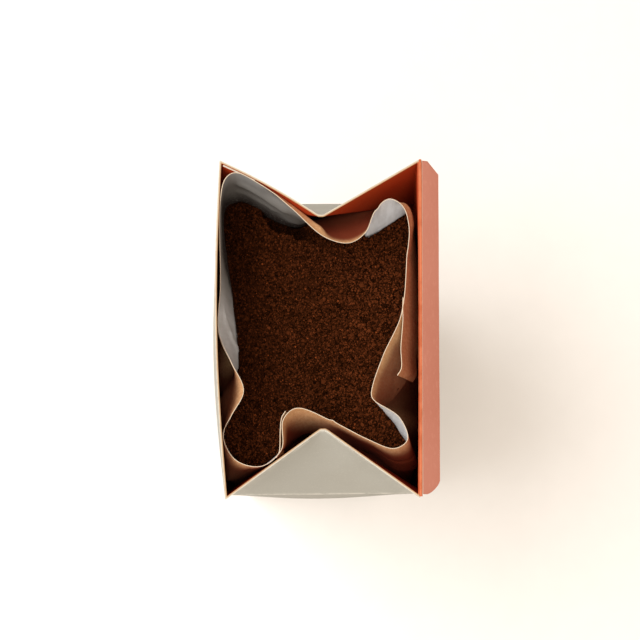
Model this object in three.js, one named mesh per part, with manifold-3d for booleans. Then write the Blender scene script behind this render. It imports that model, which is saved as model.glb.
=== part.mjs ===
// Open gable-top carton of ground coffee: a carton folded from one sheet of board, the kraft bag that
// lines it and the grounds in the bag. Millimetres, +Z up, origin at the centre of the carton's base.
// X runs across the gable ends, and +Y runs from the near gable end to the far one.

import * as THREE from "three";
import { ParametricGeometry } from "three/addons/geometries/ParametricGeometry.js";
import { mergeVertices } from "three/addons/utils/BufferGeometryUtils.js";
import Module from "manifold-3d";

const wasm = await Module();
wasm.setup();

// Carton
const BODY_WIDTH = 65;
const BODY_DEPTH = 96;
const SHOULDER_HEIGHT = 165; // from the base to the crease where the gable top starts
const PANEL_HEIGHT = 45; // from that crease to the rim, along the board
const BOARD = 0.6;
const FLOOR = 1.4; // two glued layers of bottom flaps
const BASE_ROUND = 0.8;
const CORNER = 0.5; // the crease at an upright corner
const NEAR_TUCK = 18.2; // how far the middle of each end's rim is pushed in
const FAR_TUCK = 14.9;
const CREASE_SHARE = 0.03; // half-width of the rounded tip where an end folds, as a share of the end
const SIDE_BULGE = 4.3; // the contents push the walls out
const SIDE_BULGE_SPAN = 1.35; // height of one bulge wave, in shoulder heights
const LEFT_RIM_BOW = 2.1;
const RIGHT_RIM_BOW = 0.2;
const LEFT_RIM_EASE = 0.85; // the left panel stands a little more upright than the right one
const NEAR_LEFT_PINCH = 1.6; // the near left corner is pressed in at the shoulder crease
const RIM_FLARE = 1.2; // each end of a side panel's rim stands out past the shoulder below it
const END_BULGE = 1.8;
const FAR_LEFT_BOW = 0.8; // the far left panel bows out along its rim

// Seal flap along the right rim
const FLAP_WIDTH = 6.3;
const FLAP_CHAMFER = 3.8;
const FLAP_ROUND = 1.2;
const FLAP_DROOP = THREE.MathUtils.degToRad(15); // below level, as it rests
const FLAP_GAP = 0.35; // from the crease's axis to the flap's edge

// Bag
const BAG_WALL = 0.4;
const BAG_GAP = 0.5; // to the carton's walls and floor
const BAG_CORNER_POWER = 12; // exponent of the superellipse that rounds the filled bag's corners
const BAG_FULL_HEIGHT = 143; // the bag fills the carton up to here
const BAG_RIM_HEIGHT = 206;
const BAG_CORNER_LIFT = 4; // the far left corner of the mouth stands higher
const BAG_LIFT_REACH = 40;
const SEAM_SLOPE = 0.32; // outward lean of the bag's open seam, per millimetre of depth
const SEAM_DROP = 22;

// Grounds
const GROUNDS_GAP = 0.5;
const GROUNDS_LEVEL = 186;
const GROUNDS_SWELL = 0.9; // slow rise and fall of the surface
const GROUNDS_LUMP = 0.7; // height of the lumps
const GROUNDS_RINGS = 14;

// The crests, hollows and corners of the bag's mouth, anticlockwise. Each row is a point of the rim (x, y)
// and the point below it at the level of the grounds (x, y).
const MOUTH_LEVEL = 184;
const MOUTH = [
  [23.1, 3.3, 30.6, 4.5], // seam on the right
  [25.2, 20.2, 30.8, 22.0],
  [26.0, 29.5, 30.0, 32.0],
  [24.2, 36.0, 29.4, 39.8], // far right corner
  [20.3, 38.3, 24.6, 37.0],
  [16.2, 35.2, 17.5, 33.9],
  [13.2, 28.6, 13.2, 35.4],
  [8.2, 25.1, 7.8, 38.4], // far fold
  [0.8, 27.0, 0.8, 38.4],
  [-8.7, 35.3, -8.2, 36.2],
  [-17.6, 42.1, -18.3, 40.0],
  [-25.2, 45.4, -25.2, 42.7], // far left corner
  [-28.2, 42.9, -29.6, 40.6],
  [-29.3, 12.0, -27.2, 12.0],
  [-29.7, -1.4, -25.6, -1.6],
  [-26.4, -9.9, -25.8, -9.4],
  [-22.8, -18.3, -29.0, -18.4], // left fold
  [-26.2, -25.2, -29.8, -25.6],
  [-28.55, -31.0, -30.1, -34.4],
  [-25.0, -38.0, -27.6, -42.6], // near left corner
  [-17.6, -39.9, -18.6, -39.2],
  [-11.8, -35.2, -10.0, -33.4],
  [-11.2, -26.6, -6.2, -30.0],
  [-7.6, -23.5, -2.0, -29.2], // near fold
  [2.6, -27.3, 6.4, -32.0],
  [12.0, -32.2, 15.4, -35.8],
  [20.3, -35.2, 23.6, -41.2],
  [24.2, -32.6, 29.0, -39.6], // near right corner
  [22.0, -26.2, 22.9, -27.8],
  [14.9, -21.3, 19.0, -21.8],
  [14.1, -19.7, 18.9, -20.2], // fold beside the seam
  [17.6, -8.6, 28.0, -9.0],
];
// The free end of the seam along the rim, which stands clear of the sheet that it was sealed to.
const SEAM = [
  [23.6, 8.6],
  [23.35, 5.0],
  [23.4, 2.2],
  [23.2, -2.0],
  [22.7, -6.8],
  [22.8, -11.8],
  [21.6, -14.2],
];

// Heights of the bag's and the grounds' rings between the base and the level of the mouth
const RING_HEIGHTS = [40, 80, 115, 143, 152, 159, 166, 174];

// Divisions
const SIDE_STEPS = 10;
const END_STEPS = 6;
const BAG_STEPS = 96;
const SEAM_STEPS = 10;

const { clamp, lerp, smoothstep } = THREE.MathUtils;
const RIM_HEIGHT = SHOULDER_HEIGHT + PANEL_HEIGHT; // along the board
const NEAR_LEAN = sideLean(NEAR_TUCK);
const FAR_LEAN = sideLean(FAR_TUCK);

// Lean of a side panel at an end whose rim is tucked in. The board doesn't stretch, so
// width * sin(lean) = 2 * panel * (1 - cos(fold) * cos(lean)), where sin(fold) = tuck / panel.
function sideLean(tuck) {
  const reach = 2 * PANEL_HEIGHT * Math.cos(Math.asin(tuck / PANEL_HEIGHT));
  const slack = Math.acos((2 * PANEL_HEIGHT) / Math.hypot(BODY_WIDTH, reach));
  return Math.atan2(BODY_WIDTH, reach) - slack;
}

// Values from start to end in equal steps, both included.
function steps(start, end, count) {
  return Array.from({ length: count + 1 }, (_, i) => lerp(start, end, i / count));
}

// Share of the gable panel that lies below a height along the board.
function panelShare(height) {
  return Math.max(0, height - SHOULDER_HEIGHT) / PANEL_HEIGHT;
}

// How far a side wall stands out at a share of its depth and a height along the board.
function sideBulge(side, share, height) {
  const wave = (h) => SIDE_BULGE * Math.sin((Math.PI * h) / (SIDE_BULGE_SPAN * SHOULDER_HEIGHT));
  const rimBow = side > 0 ? RIGHT_RIM_BOW : LEFT_RIM_BOW;
  const middle = lerp(wave(Math.min(height, SHOULDER_HEIGHT)), rimBow, panelShare(height));
  return middle * Math.sin(Math.PI * share);
}

// How far an end wall stands out. It is straight along the shoulder crease.
function endBulge(across, height) {
  const wave = Math.sin((Math.PI * Math.min(height, SHOULDER_HEIGHT)) / SHOULDER_HEIGHT);
  return END_BULGE * wave * Math.cos((Math.PI / 2) * across);
}

// How far the left wall is pressed in: not at the base or the far end, and most at the near shoulder.
function pinch(side, share, height) {
  const reach = Math.min(height, SHOULDER_HEIGHT) / SHOULDER_HEIGHT;
  return side > 0 ? 0 : NEAR_LEFT_PINCH * (1 - share) * reach;
}

// A point of the right (+1) or left (-1) wall, at a share of the way from the near end to the far end.
function sidePoint(side, share, height) {
  const above = panelShare(height);
  const up = above * PANEL_HEIGHT;
  const lean = lerp(NEAR_LEAN, FAR_LEAN, share);
  const ease = lerp(-pinch(side, share, height), side > 0 ? 0 : LEFT_RIM_EASE, above);
  const x = BODY_WIDTH / 2 - up * Math.sin(lean) + ease + sideBulge(side, share, height);
  const y = (share - 0.5) * (BODY_DEPTH + 2 * RIM_FLARE * above);
  const z = Math.min(height, SHOULDER_HEIGHT) + up * Math.cos(lean);
  return new THREE.Vector3(side * x, y, z);
}

// A point of the far (+1) or near (-1) end, from one slanted crease (-1) across to the other (+1).
function endPoint(end, across, height) {
  const share = panelShare(height);
  const tuck = end > 0 ? FAR_TUCK : NEAR_TUCK;
  const corner = BODY_WIDTH / 2 - pinch(across, end > 0 ? 1 : 0, height);
  const half = corner * (1 - clamp(share, CREASE_SHARE, 1 - CREASE_SHARE));
  const y = BODY_DEPTH / 2 - share * tuck + endBulge(across, height);
  const up = share * Math.sqrt(PANEL_HEIGHT ** 2 - tuck ** 2);
  return new THREE.Vector3(across * half, end * y, Math.min(height, SHOULDER_HEIGHT) + up);
}

// The end's point beside an upright corner, just round its crease.
function cornerPoint(side, end, height) {
  const corner = sidePoint(side, end > 0 ? 1 : 0, height);
  const crease = endPoint(end, side, height);
  return corner.lerp(crease, CORNER / corner.distanceTo(crease));
}

// The far left panel between its slanted crease and its corner, which bows out more and more towards the rim.
// Its points keep clear of the corner where the panel is narrow.
function bowedPanel(height) {
  const above = panelShare(height);
  const crease = endPoint(1, -1, height);
  const corner = cornerPoint(-1, 1, height);
  return [1 / 3, 2 / 3].map((share) => {
    const t = share * lerp(0.55, 1, above);
    const point = crease.clone().lerp(corner, t);
    point.y += FAR_LEFT_BOW * above * Math.sin(Math.PI * t);
    return point;
  });
}

// The carton's outer face at one height along the board, as an anticlockwise ring.
function cartonRing(height) {
  const trim = CORNER / BODY_DEPTH;
  const alongSide = steps(trim, 1 - trim, SIDE_STEPS);
  const alongEnd = steps(1, -1, END_STEPS);
  return [
    ...alongSide.map((s) => sidePoint(1, s, height)),
    cornerPoint(1, 1, height),
    ...alongEnd.map((a) => endPoint(1, a, height)),
    ...bowedPanel(height),
    cornerPoint(-1, 1, height),
    ...alongSide.map((s) => sidePoint(-1, 1 - s, height)),
    cornerPoint(-1, -1, height),
    ...alongEnd.map((a) => endPoint(-1, -a, height)),
    cornerPoint(1, -1, height),
  ];
}

// A ring moved inwards by a distance, level, with its corners mitred.
function inset(ring, distance) {
  const normal = (from, to) => new THREE.Vector2(from.y - to.y, to.x - from.x).normalize();
  return ring.map((point, i) => {
    const before = normal(ring.at(i - 1), point);
    const after = normal(point, ring[(i + 1) % ring.length]);
    const scale = distance / (1 + before.dot(after));
    const move = before.add(after).multiplyScalar(scale);
    return new THREE.Vector3(point.x + move.x, point.y + move.y, point.z);
  });
}

// A ring shrunk to one point, which closes a surface.
function pole(ring, x, y, z) {
  return ring.map(() => new THREE.Vector3(x, y, z));
}

// A closed surface through a list of rings, from the pole under it round to the pole that ends it.
function closedSurface(rings) {
  const count = rings[0].length;
  const pick = (u, v, target) => {
    const ring = rings[Math.round(v * (rings.length - 1))];
    target.copy(ring[Math.round(u * count) % count]);
  };
  return new ParametricGeometry(pick, count, rings.length - 1);
}

function cartonGeometry() {
  const body = [BASE_ROUND, 25, 55, 85, 115, 142, SHOULDER_HEIGHT];
  const panel = [176, 187, 198, RIM_HEIGHT];
  const outside = [...body, ...panel].map(cartonRing);
  const heightsInside = [...panel.toReversed(), ...body.toReversed().slice(0, -1), FLOOR];
  const inside = heightsInside.map((h) => inset(cartonRing(h), BOARD));
  const foot = inset(cartonRing(0), BASE_ROUND);
  return closedSurface([pole(foot, 0, 0, 0), foot, ...outside, ...inside, pole(foot, 0, 0, FLOOR)]);
}

// The flap lies in its own XY plane with the crease along Y and its printed side down.
function flapGeometry(length) {
  const half = length / 2;
  const outline = new THREE.Shape();
  outline.moveTo(FLAP_GAP, -half);
  outline.lineTo(FLAP_WIDTH - FLAP_CHAMFER, -half);
  outline.quadraticCurveTo(FLAP_WIDTH, -half, FLAP_WIDTH, FLAP_CHAMFER - half);
  outline.lineTo(FLAP_WIDTH, half - FLAP_CHAMFER - FLAP_ROUND);
  const slant = half - FLAP_CHAMFER;
  outline.quadraticCurveTo(FLAP_WIDTH, slant, FLAP_WIDTH - FLAP_ROUND, slant + FLAP_ROUND);
  outline.lineTo(FLAP_WIDTH - FLAP_CHAMFER, half);
  outline.lineTo(FLAP_GAP, half);
  return new THREE.ExtrudeGeometry(outline, { depth: BOARD, bevelEnabled: false, curveSegments: 6 });
}

const spline = (points) => new THREE.CatmullRomCurve3(points, true, "centripetal");
const rimCurve = spline(MOUTH.map(([x, y]) => new THREE.Vector3(x, y, BAG_RIM_HEIGHT)));
const levelPoints = MOUTH.map(([, , x, y]) => new THREE.Vector3(x, y, MOUTH_LEVEL));
const levelCurve = spline(levelPoints);
const fillCurve = spline(levelPoints.map((_, i) => evened(levelPoints, i)));

// The mean of a point of a loop and its two neighbours on each side, weighted 1, 2, 3, 2, 1.
function evened(loop, index) {
  const mean = new THREE.Vector3();
  for (const [shift, weight] of [[-2, 1], [-1, 2], [0, 3], [1, 2], [2, 1]]) {
    mean.addScaledVector(loop[(index + shift + loop.length) % loop.length], weight / 9);
  }
  return mean;
}

// The filled bag's outer face in the direction of a point: a superellipse that follows the carton's bulge.
function filledPoint(towards, z) {
  const halfX = BODY_WIDTH / 2 - BOARD - BAG_GAP;
  const halfY = BODY_DEPTH / 2 - BOARD - BAG_GAP;
  const power = (value) => Math.abs(value) ** BAG_CORNER_POWER;
  const scale = (power(towards.x / halfX) + power(towards.y / halfY)) ** (-1 / BAG_CORNER_POWER);
  const x = towards.x * scale;
  const y = towards.y * scale;
  const side = Math.sign(x);
  const share = clamp(y / BODY_DEPTH + 0.5, 0, 1);
  const outX = (sideBulge(side, share, z) - pinch(side, share, z)) / halfX;
  const outY = endBulge(x / (BODY_WIDTH / 2), z) / halfY;
  return new THREE.Vector3(x * (1 + outX), y * (1 + outY), z);
}

// The bag's outer face at one height. Above the grounds the height is that of the rim's plain part.
function bagRing(z) {
  return Array.from({ length: BAG_STEPS }, (_, i) => {
    const level = levelCurve.getPoint(i / BAG_STEPS);
    if (z <= MOUTH_LEVEL) {
      const gather = smoothstep(z, BAG_FULL_HEIGHT, MOUTH_LEVEL);
      return filledPoint(fillCurve.getPoint(i / BAG_STEPS), z).lerp(level.setZ(z), gather);
    }
    const share = (z - MOUTH_LEVEL) / (BAG_RIM_HEIGHT - MOUTH_LEVEL);
    const point = level.lerp(rimCurve.getPoint(i / BAG_STEPS), share);
    const away = Math.hypot(point.x + BODY_WIDTH / 2, point.y - BODY_DEPTH / 2);
    point.z += share * BAG_CORNER_LIFT * (1 - smoothstep(away, 0, BAG_LIFT_REACH));
    return point;
  });
}

// The open seam: a strip along the rim, leaning out with the bag's wall.
function seamGeometry() {
  const path = new THREE.SplineCurve(SEAM.map(([x, y]) => new THREE.Vector2(x, y)));
  const edge = (offset) =>
    steps(0, 1, SEAM_STEPS).map((t) => {
      const along = path.getTangent(t);
      return path.getPoint(t).add(new THREE.Vector2(-along.y, along.x).multiplyScalar(offset));
    });
  const outline = new THREE.Shape([...edge(-BAG_WALL / 2), ...edge(BAG_WALL / 2).reverse()]);
  const strip = new THREE.ExtrudeGeometry(outline, { depth: SEAM_DROP, bevelEnabled: false });
  strip.translate(SEAM_SLOPE * SEAM_DROP, 0, 0);
  strip.applyMatrix4(new THREE.Matrix4().makeShear(0, 0, 0, 0, -SEAM_SLOPE, 0));
  return strip.translate(0, 0, BAG_RIM_HEIGHT - SEAM_DROP);
}

// A closed geometry as a solid that can be joined to another.
function solid(geometry) {
  const bare = new THREE.BufferGeometry();
  bare.setAttribute("position", geometry.getAttribute("position"));
  bare.setIndex(geometry.getIndex());
  const merged = mergeVertices(bare);
  const triVerts = new Uint32Array(merged.index.array);
  return new wasm.Manifold(
    new wasm.Mesh({ numProp: 3, vertProperties: merged.attributes.position.array, triVerts }),
  );
}

function geometryOf(made) {
  const mesh = made.getMesh();
  const geometry = new THREE.BufferGeometry();
  geometry.setAttribute("position", new THREE.BufferAttribute(mesh.vertProperties, 3));
  geometry.setIndex(new THREE.BufferAttribute(mesh.triVerts, 1));
  return geometry;
}

function bagGeometry() {
  const bottom = FLOOR + BAG_GAP;
  const heights = [bottom, ...RING_HEIGHTS, MOUTH_LEVEL, 195, BAG_RIM_HEIGHT];
  const outside = heights.map(bagRing);
  const heightsInside = [...heights.slice(1).toReversed(), bottom + BAG_WALL];
  const inside = heightsInside.map((z) => inset(bagRing(z), BAG_WALL));
  const first = pole(outside[0], 0, 0, bottom);
  const tube = closedSurface([first, ...outside, ...inside, pole(first, 0, 0, bottom + BAG_WALL)]);
  return geometryOf(solid(tube).add(solid(seamGeometry())));
}

// A repeatable draw from 0 to 1 for a place on the grounds.
function draw(x, y) {
  const value = Math.sin(x * 12.9898 + y * 78.233) * 43758.5453;
  return value - Math.floor(value);
}

// Height of the grounds: a slow swell and a lump of its own height at each point.
function groundsHeight(x, y) {
  const swell = Math.sin(x * 0.11 + 0.6) * Math.cos(y * 0.085 - 0.4);
  return GROUNDS_LEVEL + GROUNDS_SWELL * swell + GROUNDS_LUMP * (draw(x, y) - 0.5);
}

function groundsGeometry() {
  const bottom = FLOOR + BAG_GAP + BAG_WALL + GROUNDS_GAP;
  const clearance = BAG_WALL + GROUNDS_GAP;
  const crest = GROUNDS_LEVEL + GROUNDS_SWELL + GROUNDS_LUMP / 2;
  const heights = [bottom, ...RING_HEIGHTS, MOUTH_LEVEL];
  const walls = heights.map((z) => inset(bagRing(z), clearance));
  const high = inset(bagRing(crest), clearance);
  const edge = walls.at(-1).map((low, i) => {
    const z = groundsHeight(low.x, low.y);
    return low.clone().lerp(high[i], (z - MOUTH_LEVEL) / (crest - MOUTH_LEVEL)).setZ(z);
  });
  const shares = steps(1 - 1 / GROUNDS_RINGS, 1 / GROUNDS_RINGS, GROUNDS_RINGS - 2);
  const surface = shares.map((share) =>
    edge.map(({ x, y }) => new THREE.Vector3(x * share, y * share, groundsHeight(x * share, y * share))),
  );
  const first = pole(edge, 0, 0, bottom);
  return closedSurface([first, ...walls, edge, ...surface, pole(edge, 0, 0, groundsHeight(0, 0))]);
}

function piece(name, geometry, color, roughness) {
  const made = new THREE.Mesh(geometry, new THREE.MeshStandardMaterial({ color, roughness, metalness: 0 }));
  made.name = name;
  return made;
}

// The flap hinges on the crease at the top of the right wall, between the two ends of its rim.
function sealFlap() {
  const trim = RIM_FLARE / (BODY_DEPTH + 2 * RIM_FLARE);
  const near = sidePoint(1, trim, RIM_HEIGHT);
  const far = sidePoint(1, 1 - trim, RIM_HEIGHT);
  const flap = piece("seal_flap", flapGeometry(far.distanceTo(near)), 0xc67b60, 0.75);
  flap.rotation.y = FLAP_DROOP;
  const crease = new THREE.Group();
  crease.position.addVectors(near, far).multiplyScalar(0.5);
  crease.position.x += RIGHT_RIM_BOW;
  crease.rotation.z = -Math.atan2(far.x - near.x, far.y - near.y);
  crease.add(flap);
  return crease;
}

const box = new THREE.Group();
box.add(piece("carton", cartonGeometry(), 0xb8b0a0, 0.8));
box.add(sealFlap());
box.add(piece("bag", bagGeometry(), 0xb07d4e, 0.7));
box.add(piece("grounds", groundsGeometry(), 0x3e2012, 0.95));

export default box;
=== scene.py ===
"""Open gable-top carton of ground coffee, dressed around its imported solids.

Lengths are in millimetres until a mesh is made, and in metres in Blender. +Z is up, +Y runs from the near
gable end to the far one, and the seal flap is on the +X side.
"""

import logging
from collections.abc import Mapping, Sequence
from dataclasses import dataclass, field
from enum import Enum, IntEnum
from functools import cached_property
from typing import Any

import bmesh
import bpy
import numpy as np
from mathutils import Matrix, Vector
from numpy.typing import NDArray

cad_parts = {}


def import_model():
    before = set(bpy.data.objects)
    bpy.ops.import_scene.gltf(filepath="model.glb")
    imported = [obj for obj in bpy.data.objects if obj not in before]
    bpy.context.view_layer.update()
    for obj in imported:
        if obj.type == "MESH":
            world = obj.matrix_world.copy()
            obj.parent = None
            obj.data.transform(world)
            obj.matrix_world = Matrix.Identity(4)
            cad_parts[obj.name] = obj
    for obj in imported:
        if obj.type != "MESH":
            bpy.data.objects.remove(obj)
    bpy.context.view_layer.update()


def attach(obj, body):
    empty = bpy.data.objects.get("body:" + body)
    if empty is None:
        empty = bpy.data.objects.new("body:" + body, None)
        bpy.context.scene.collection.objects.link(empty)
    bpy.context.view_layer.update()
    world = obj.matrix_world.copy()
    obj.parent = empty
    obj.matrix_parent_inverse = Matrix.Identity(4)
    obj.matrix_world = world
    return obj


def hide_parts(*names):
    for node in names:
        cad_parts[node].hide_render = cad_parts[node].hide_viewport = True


LOG = logging.getLogger("coffee_carton")
Array = NDArray[np.float64]
Numbers = NDArray[np.int64]
Pair = tuple[float, float]
Tone = tuple[int, int, int]
MM = 0.001
# Points closer together than this, in metres, are merged.
MERGE = 1e-7
# A place in a grid stays this far short of the grid's length, so that there is a next cell.
GRID_END = 1.001


class Body(str, Enum):
    """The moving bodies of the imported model."""

    BOX = "box"
    FLAP = "flap"


class Slot(str, Enum):
    """The record's material slots."""

    BOARD = "board"
    BOARD_INSIDE = "board_inside"
    BAG = "bag_kraft"
    COFFEE = "coffee"


class Layer(IntEnum):
    """The material slots of a sheet's mesh: its two faces and its cut edge."""

    OUTSIDE = 0
    INSIDE = 1
    EDGE = 2


def linear(tone: Tone) -> tuple[float, float, float, float]:
    """Turn a display colour into the linear colour that a shader takes.

    Args:
        tone: Red, green and blue, from 0 to 255.

    Returns:
        The linear colour, with an alpha of 1.
    """
    share = np.array(tone) / 255
    light = np.where(share <= 0.04045, share / 12.92, ((share + 0.055) / 1.055) ** 2.4)
    return (*light.tolist(), 1.0)


def ease(value: Array, start: float, end: float) -> Array:
    """Go smoothly from 0 at start to 1 at end, as 3t² - 2t³.

    Args:
        value: Values to ease.
        start: Where the rise starts.
        end: Where the rise ends.

    Returns:
        The eased share of each value.
    """
    share = np.clip((value - start) / (end - start), 0, 1)
    return share * share * (3 - 2 * share)


def ripple(x: Array, y: Array, scale: float, seed: int, waves: int = 9) -> Array:
    """Make smooth noise from -1 to 1, as a mean of sine waves in seeded directions and lengths.

    Args:
        x: First coordinate.
        y: Second coordinate.
        scale: Typical wavelength.
        seed: Seed of the draw.
        waves: Number of waves.

    Returns:
        The noise at each place.
    """
    draw = np.random.default_rng(seed)
    angle = draw.uniform(0, 2 * np.pi, waves)
    number = 2 * np.pi / (scale * draw.uniform(0.6, 1.5, waves))
    phase = draw.uniform(0, 2 * np.pi, waves)
    along = x[..., None] * np.cos(angle) + y[..., None] * np.sin(angle)
    # The mean of several waves is low, so it is raised again.
    gain = 1.6
    return np.sin(along * number + phase).mean(axis=-1) * gain


def closed_spline(points: Array, per_span: int) -> Array:
    """Run a smooth closed curve through points, as a centripetal Catmull-Rom spline.

    Args:
        points: The points, one a row.
        per_span: Points to make from each given point to the next.

    Returns:
        The curve's points, one a row.
    """
    before, start, end, after = (np.roll(points, shift, axis=0) for shift in (1, 0, -1, -2))

    def knots(a: Array, b: Array) -> Array:
        """Knot spacing between two points: the root of their distance."""
        return np.sqrt(np.linalg.norm(b - a, axis=-1))[:, None, None]

    t1 = knots(before, start)
    t2 = t1 + knots(start, end)
    t3 = t2 + knots(end, after)
    t = t1 + (t2 - t1) * (np.arange(per_span) / per_span)[None, :, None]
    p0, p1, p2, p3 = (p[:, None, :] for p in (before, start, end, after))
    a1 = p0 * (t1 - t) / t1 + p1 * t / t1
    a2 = p1 * (t2 - t) / (t2 - t1) + p2 * (t - t1) / (t2 - t1)
    a3 = p2 * (t3 - t) / (t3 - t2) + p3 * (t - t2) / (t3 - t2)
    b1 = a1 * (t2 - t) / t2 + a2 * t / t2
    b2 = a2 * (t3 - t) / (t3 - t1) + a3 * (t - t1) / (t3 - t1)
    curve = b1 * (t2 - t) / (t2 - t1) + b2 * (t - t1) / (t2 - t1)
    return curve.reshape(-1, points.shape[1])


def open_spline(points: Array, count: int) -> Array:
    """Run a smooth open curve through points, as a Catmull-Rom spline with mirrored ends.

    Args:
        points: The points, one a row.
        count: Points to make.

    Returns:
        The curve's points, one a row.
    """
    first = 2 * points[0] - points[1]
    last = 2 * points[-1] - points[-2]
    padded = np.vstack([first, points, last])
    place = np.linspace(0, len(points) - 1, count)
    span = np.minimum(place.astype(int), len(points) - 2)
    t = (place - span)[:, None]
    a, b, c, d = (padded[span + shift] for shift in range(4))
    return b + 0.5 * t * (c - a + t * (2 * a - 5 * b + 4 * c - d + t * (3 * (b - c) + d - a)))


def grid_normals(points: Array, closed: bool) -> Array:
    """Find the unit normals of a grid of points: across the columns times up the rows.

    Args:
        points: Grid of points, rows by columns by 3.
        closed: Whether the last column meets the first.

    Returns:
        A normal for each point.
    """
    if closed:
        across = np.roll(points, -1, axis=1) - np.roll(points, 1, axis=1)
    else:
        across = np.gradient(points, axis=1)
    normal = np.cross(across, np.gradient(points, axis=0))
    return normal / np.maximum(np.linalg.norm(normal, axis=-1, keepdims=True), 1e-9)


def grid_faces(rows: int, columns: int, closed: bool) -> Numbers:
    """List the four corners of each face of a grid whose points are numbered row by row.

    Args:
        rows: Rows of points.
        columns: Columns of points.
        closed: Whether the last column meets the first.

    Returns:
        Corner numbers, four a row.
    """
    column = np.arange(columns if closed else columns - 1)
    row = np.arange(rows - 1)[:, None] * columns
    after = (column + 1) % columns
    corners = (row + column, row + after, row + columns + after, row + columns + column)
    return np.stack(corners, axis=-1).reshape(-1, 4)


def regular_faces(corners: Array) -> Numbers:
    """List the triangles of a regular solid: each three corners that are one edge apart, facing out.

    Args:
        corners: The solid's corners about the origin.

    Returns:
        Corner numbers, three a row.
    """
    gap = np.linalg.norm(corners[:, None] - corners[None], axis=-1)
    near = np.isclose(gap, gap[gap > 0].min())
    faces = np.argwhere(near[:, :, None] & near[:, None, :] & near[None])
    faces = faces[(faces[:, 0] < faces[:, 1]) & (faces[:, 1] < faces[:, 2])]
    first, second, third = np.moveaxis(corners[faces], 1, 0)
    inward = (np.cross(second - first, third - first) * first).sum(axis=-1) < 0
    return np.where(inward[:, None], faces[:, ::-1], faces)


def read_cells(cells: Array, u: Array, v: Array) -> Array:
    """Read a grid between its cells, in straight lines along both axes.

    Args:
        cells: The grid.
        u: Places along its first axis, in cells.
        v: Places along its second axis, in cells.

    Returns:
        The value at each place.
    """
    i, j = u.astype(int), v.astype(int)
    u, v = u - i, v - j
    low = cells[i, j] * (1 - u) + cells[i + 1, j] * u
    high = cells[i, j + 1] * (1 - u) + cells[i + 1, j + 1] * u
    return low * (1 - v) + high * v


def part_way(start: Array, end: Array, distance: float, limit: float) -> Array:
    """Go a distance from one line of points towards another, up to a share of the way.

    Args:
        start: Points to start from.
        end: Points to go towards.
        distance: How far to go.
        limit: Largest share of the way.

    Returns:
        The points reached.
    """
    span = np.linalg.norm(end - start, axis=-1, keepdims=True)
    return start + (end - start) * np.minimum(distance / span, limit)


def capped(rows: Array) -> Array:
    """Close a tube of rows with the middles of its first and last row.

    Args:
        rows: Rows of points.

    Returns:
        The rows, with one more at each end whose points all lie in the middle.
    """
    first, last = (np.broadcast_to(row.mean(axis=0), row.shape)[None] for row in (rows[0], rows[-1]))
    return np.concatenate([first, rows, last])


def make_object(
    name: str,
    points: Array,
    faces: Numbers,
    materials: Sequence[bpy.types.Material],
    layers: Numbers | None = None,
    marks: Mapping[str, Array] | None = None,
    sharp: float = 40,
) -> bpy.types.Object:
    """Make a mesh object from points in millimetres.

    Args:
        name: The object's name.
        points: Points, one a row.
        faces: Corner numbers of the faces.
        materials: The mesh's materials.
        layers: Material number of each face.
        marks: Numbers to keep at each point, by name, for the materials to read.
        sharp: Angle in degrees past which an edge is shaded sharp.

    Returns:
        The object, in the scene, with doubled points merged.
    """
    mesh = bpy.data.meshes.new(name)
    mesh.from_pydata((points * MM).tolist(), [], faces.tolist())
    for material in materials:
        mesh.materials.append(material)
    if layers is not None:
        mesh.polygons.foreach_set("material_index", layers.astype(np.int32))
    for mark, values in (marks or {}).items():
        kept = mesh.attributes.new(mark, "FLOAT", "POINT")
        kept.data.foreach_set("value", values.ravel().astype(np.float32))
    work = bmesh.new()
    work.from_mesh(mesh)
    bmesh.ops.remove_doubles(work, verts=work.verts, dist=MERGE)
    work.to_mesh(mesh)
    work.free()
    mesh.polygons.foreach_set("use_smooth", np.ones(len(mesh.polygons), dtype=bool))
    mesh.set_sharp_from_angle(angle=np.radians(sharp))
    mesh.update()
    made = bpy.data.objects.new(name, mesh)
    bpy.context.scene.collection.objects.link(made)
    return made


def open_sheet(
    name: str, outer: Array, inner: Array, materials: Sequence[bpy.types.Material]
) -> bpy.types.Object:
    """Make a thin sheet from its two faces, with its four cut edges closed.

    Args:
        name: The object's name.
        outer: Grid of the outer face.
        inner: Grid of the inner face, in the same order.
        materials: Materials of the outside, the inside and the cut edge.

    Returns:
        The sheet's object.
    """
    rows, columns = outer.shape[:2]
    loop = np.concatenate([outer, inner[::-1], outer[:1]])
    row_layers = np.full(len(loop) - 1, Layer.EDGE, dtype=np.int64)
    row_layers[: rows - 1] = Layer.OUTSIDE
    row_layers[rows : 2 * rows - 1] = Layer.INSIDE
    first = np.stack([inner[:, 0], outer[:, 0]], axis=1)
    last = np.stack([outer[:, -1], inner[:, -1]], axis=1)
    points = np.concatenate([part.reshape(-1, 3) for part in (loop, first, last)])
    start = len(loop) * columns
    side = grid_faces(rows, 2, False)
    faces = np.concatenate([grid_faces(len(loop), columns, False), side + start, side + start + 2 * rows])
    edges = np.full(2 * len(side), Layer.EDGE, dtype=np.int64)
    layers = np.concatenate([np.repeat(row_layers, columns - 1), edges])
    return make_object(name, points, faces, materials, layers)


def dress(made: bpy.types.Object, body: Body, slot: Slot, *replaced: str) -> None:
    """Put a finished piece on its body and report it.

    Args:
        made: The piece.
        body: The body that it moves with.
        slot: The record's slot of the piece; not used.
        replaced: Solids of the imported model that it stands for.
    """
    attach(made, body.value)
    if replaced:
        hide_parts(*replaced)
    LOG.info("%s: %d faces on %s", made.name, len(made.data.polygons), body.value)


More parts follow.
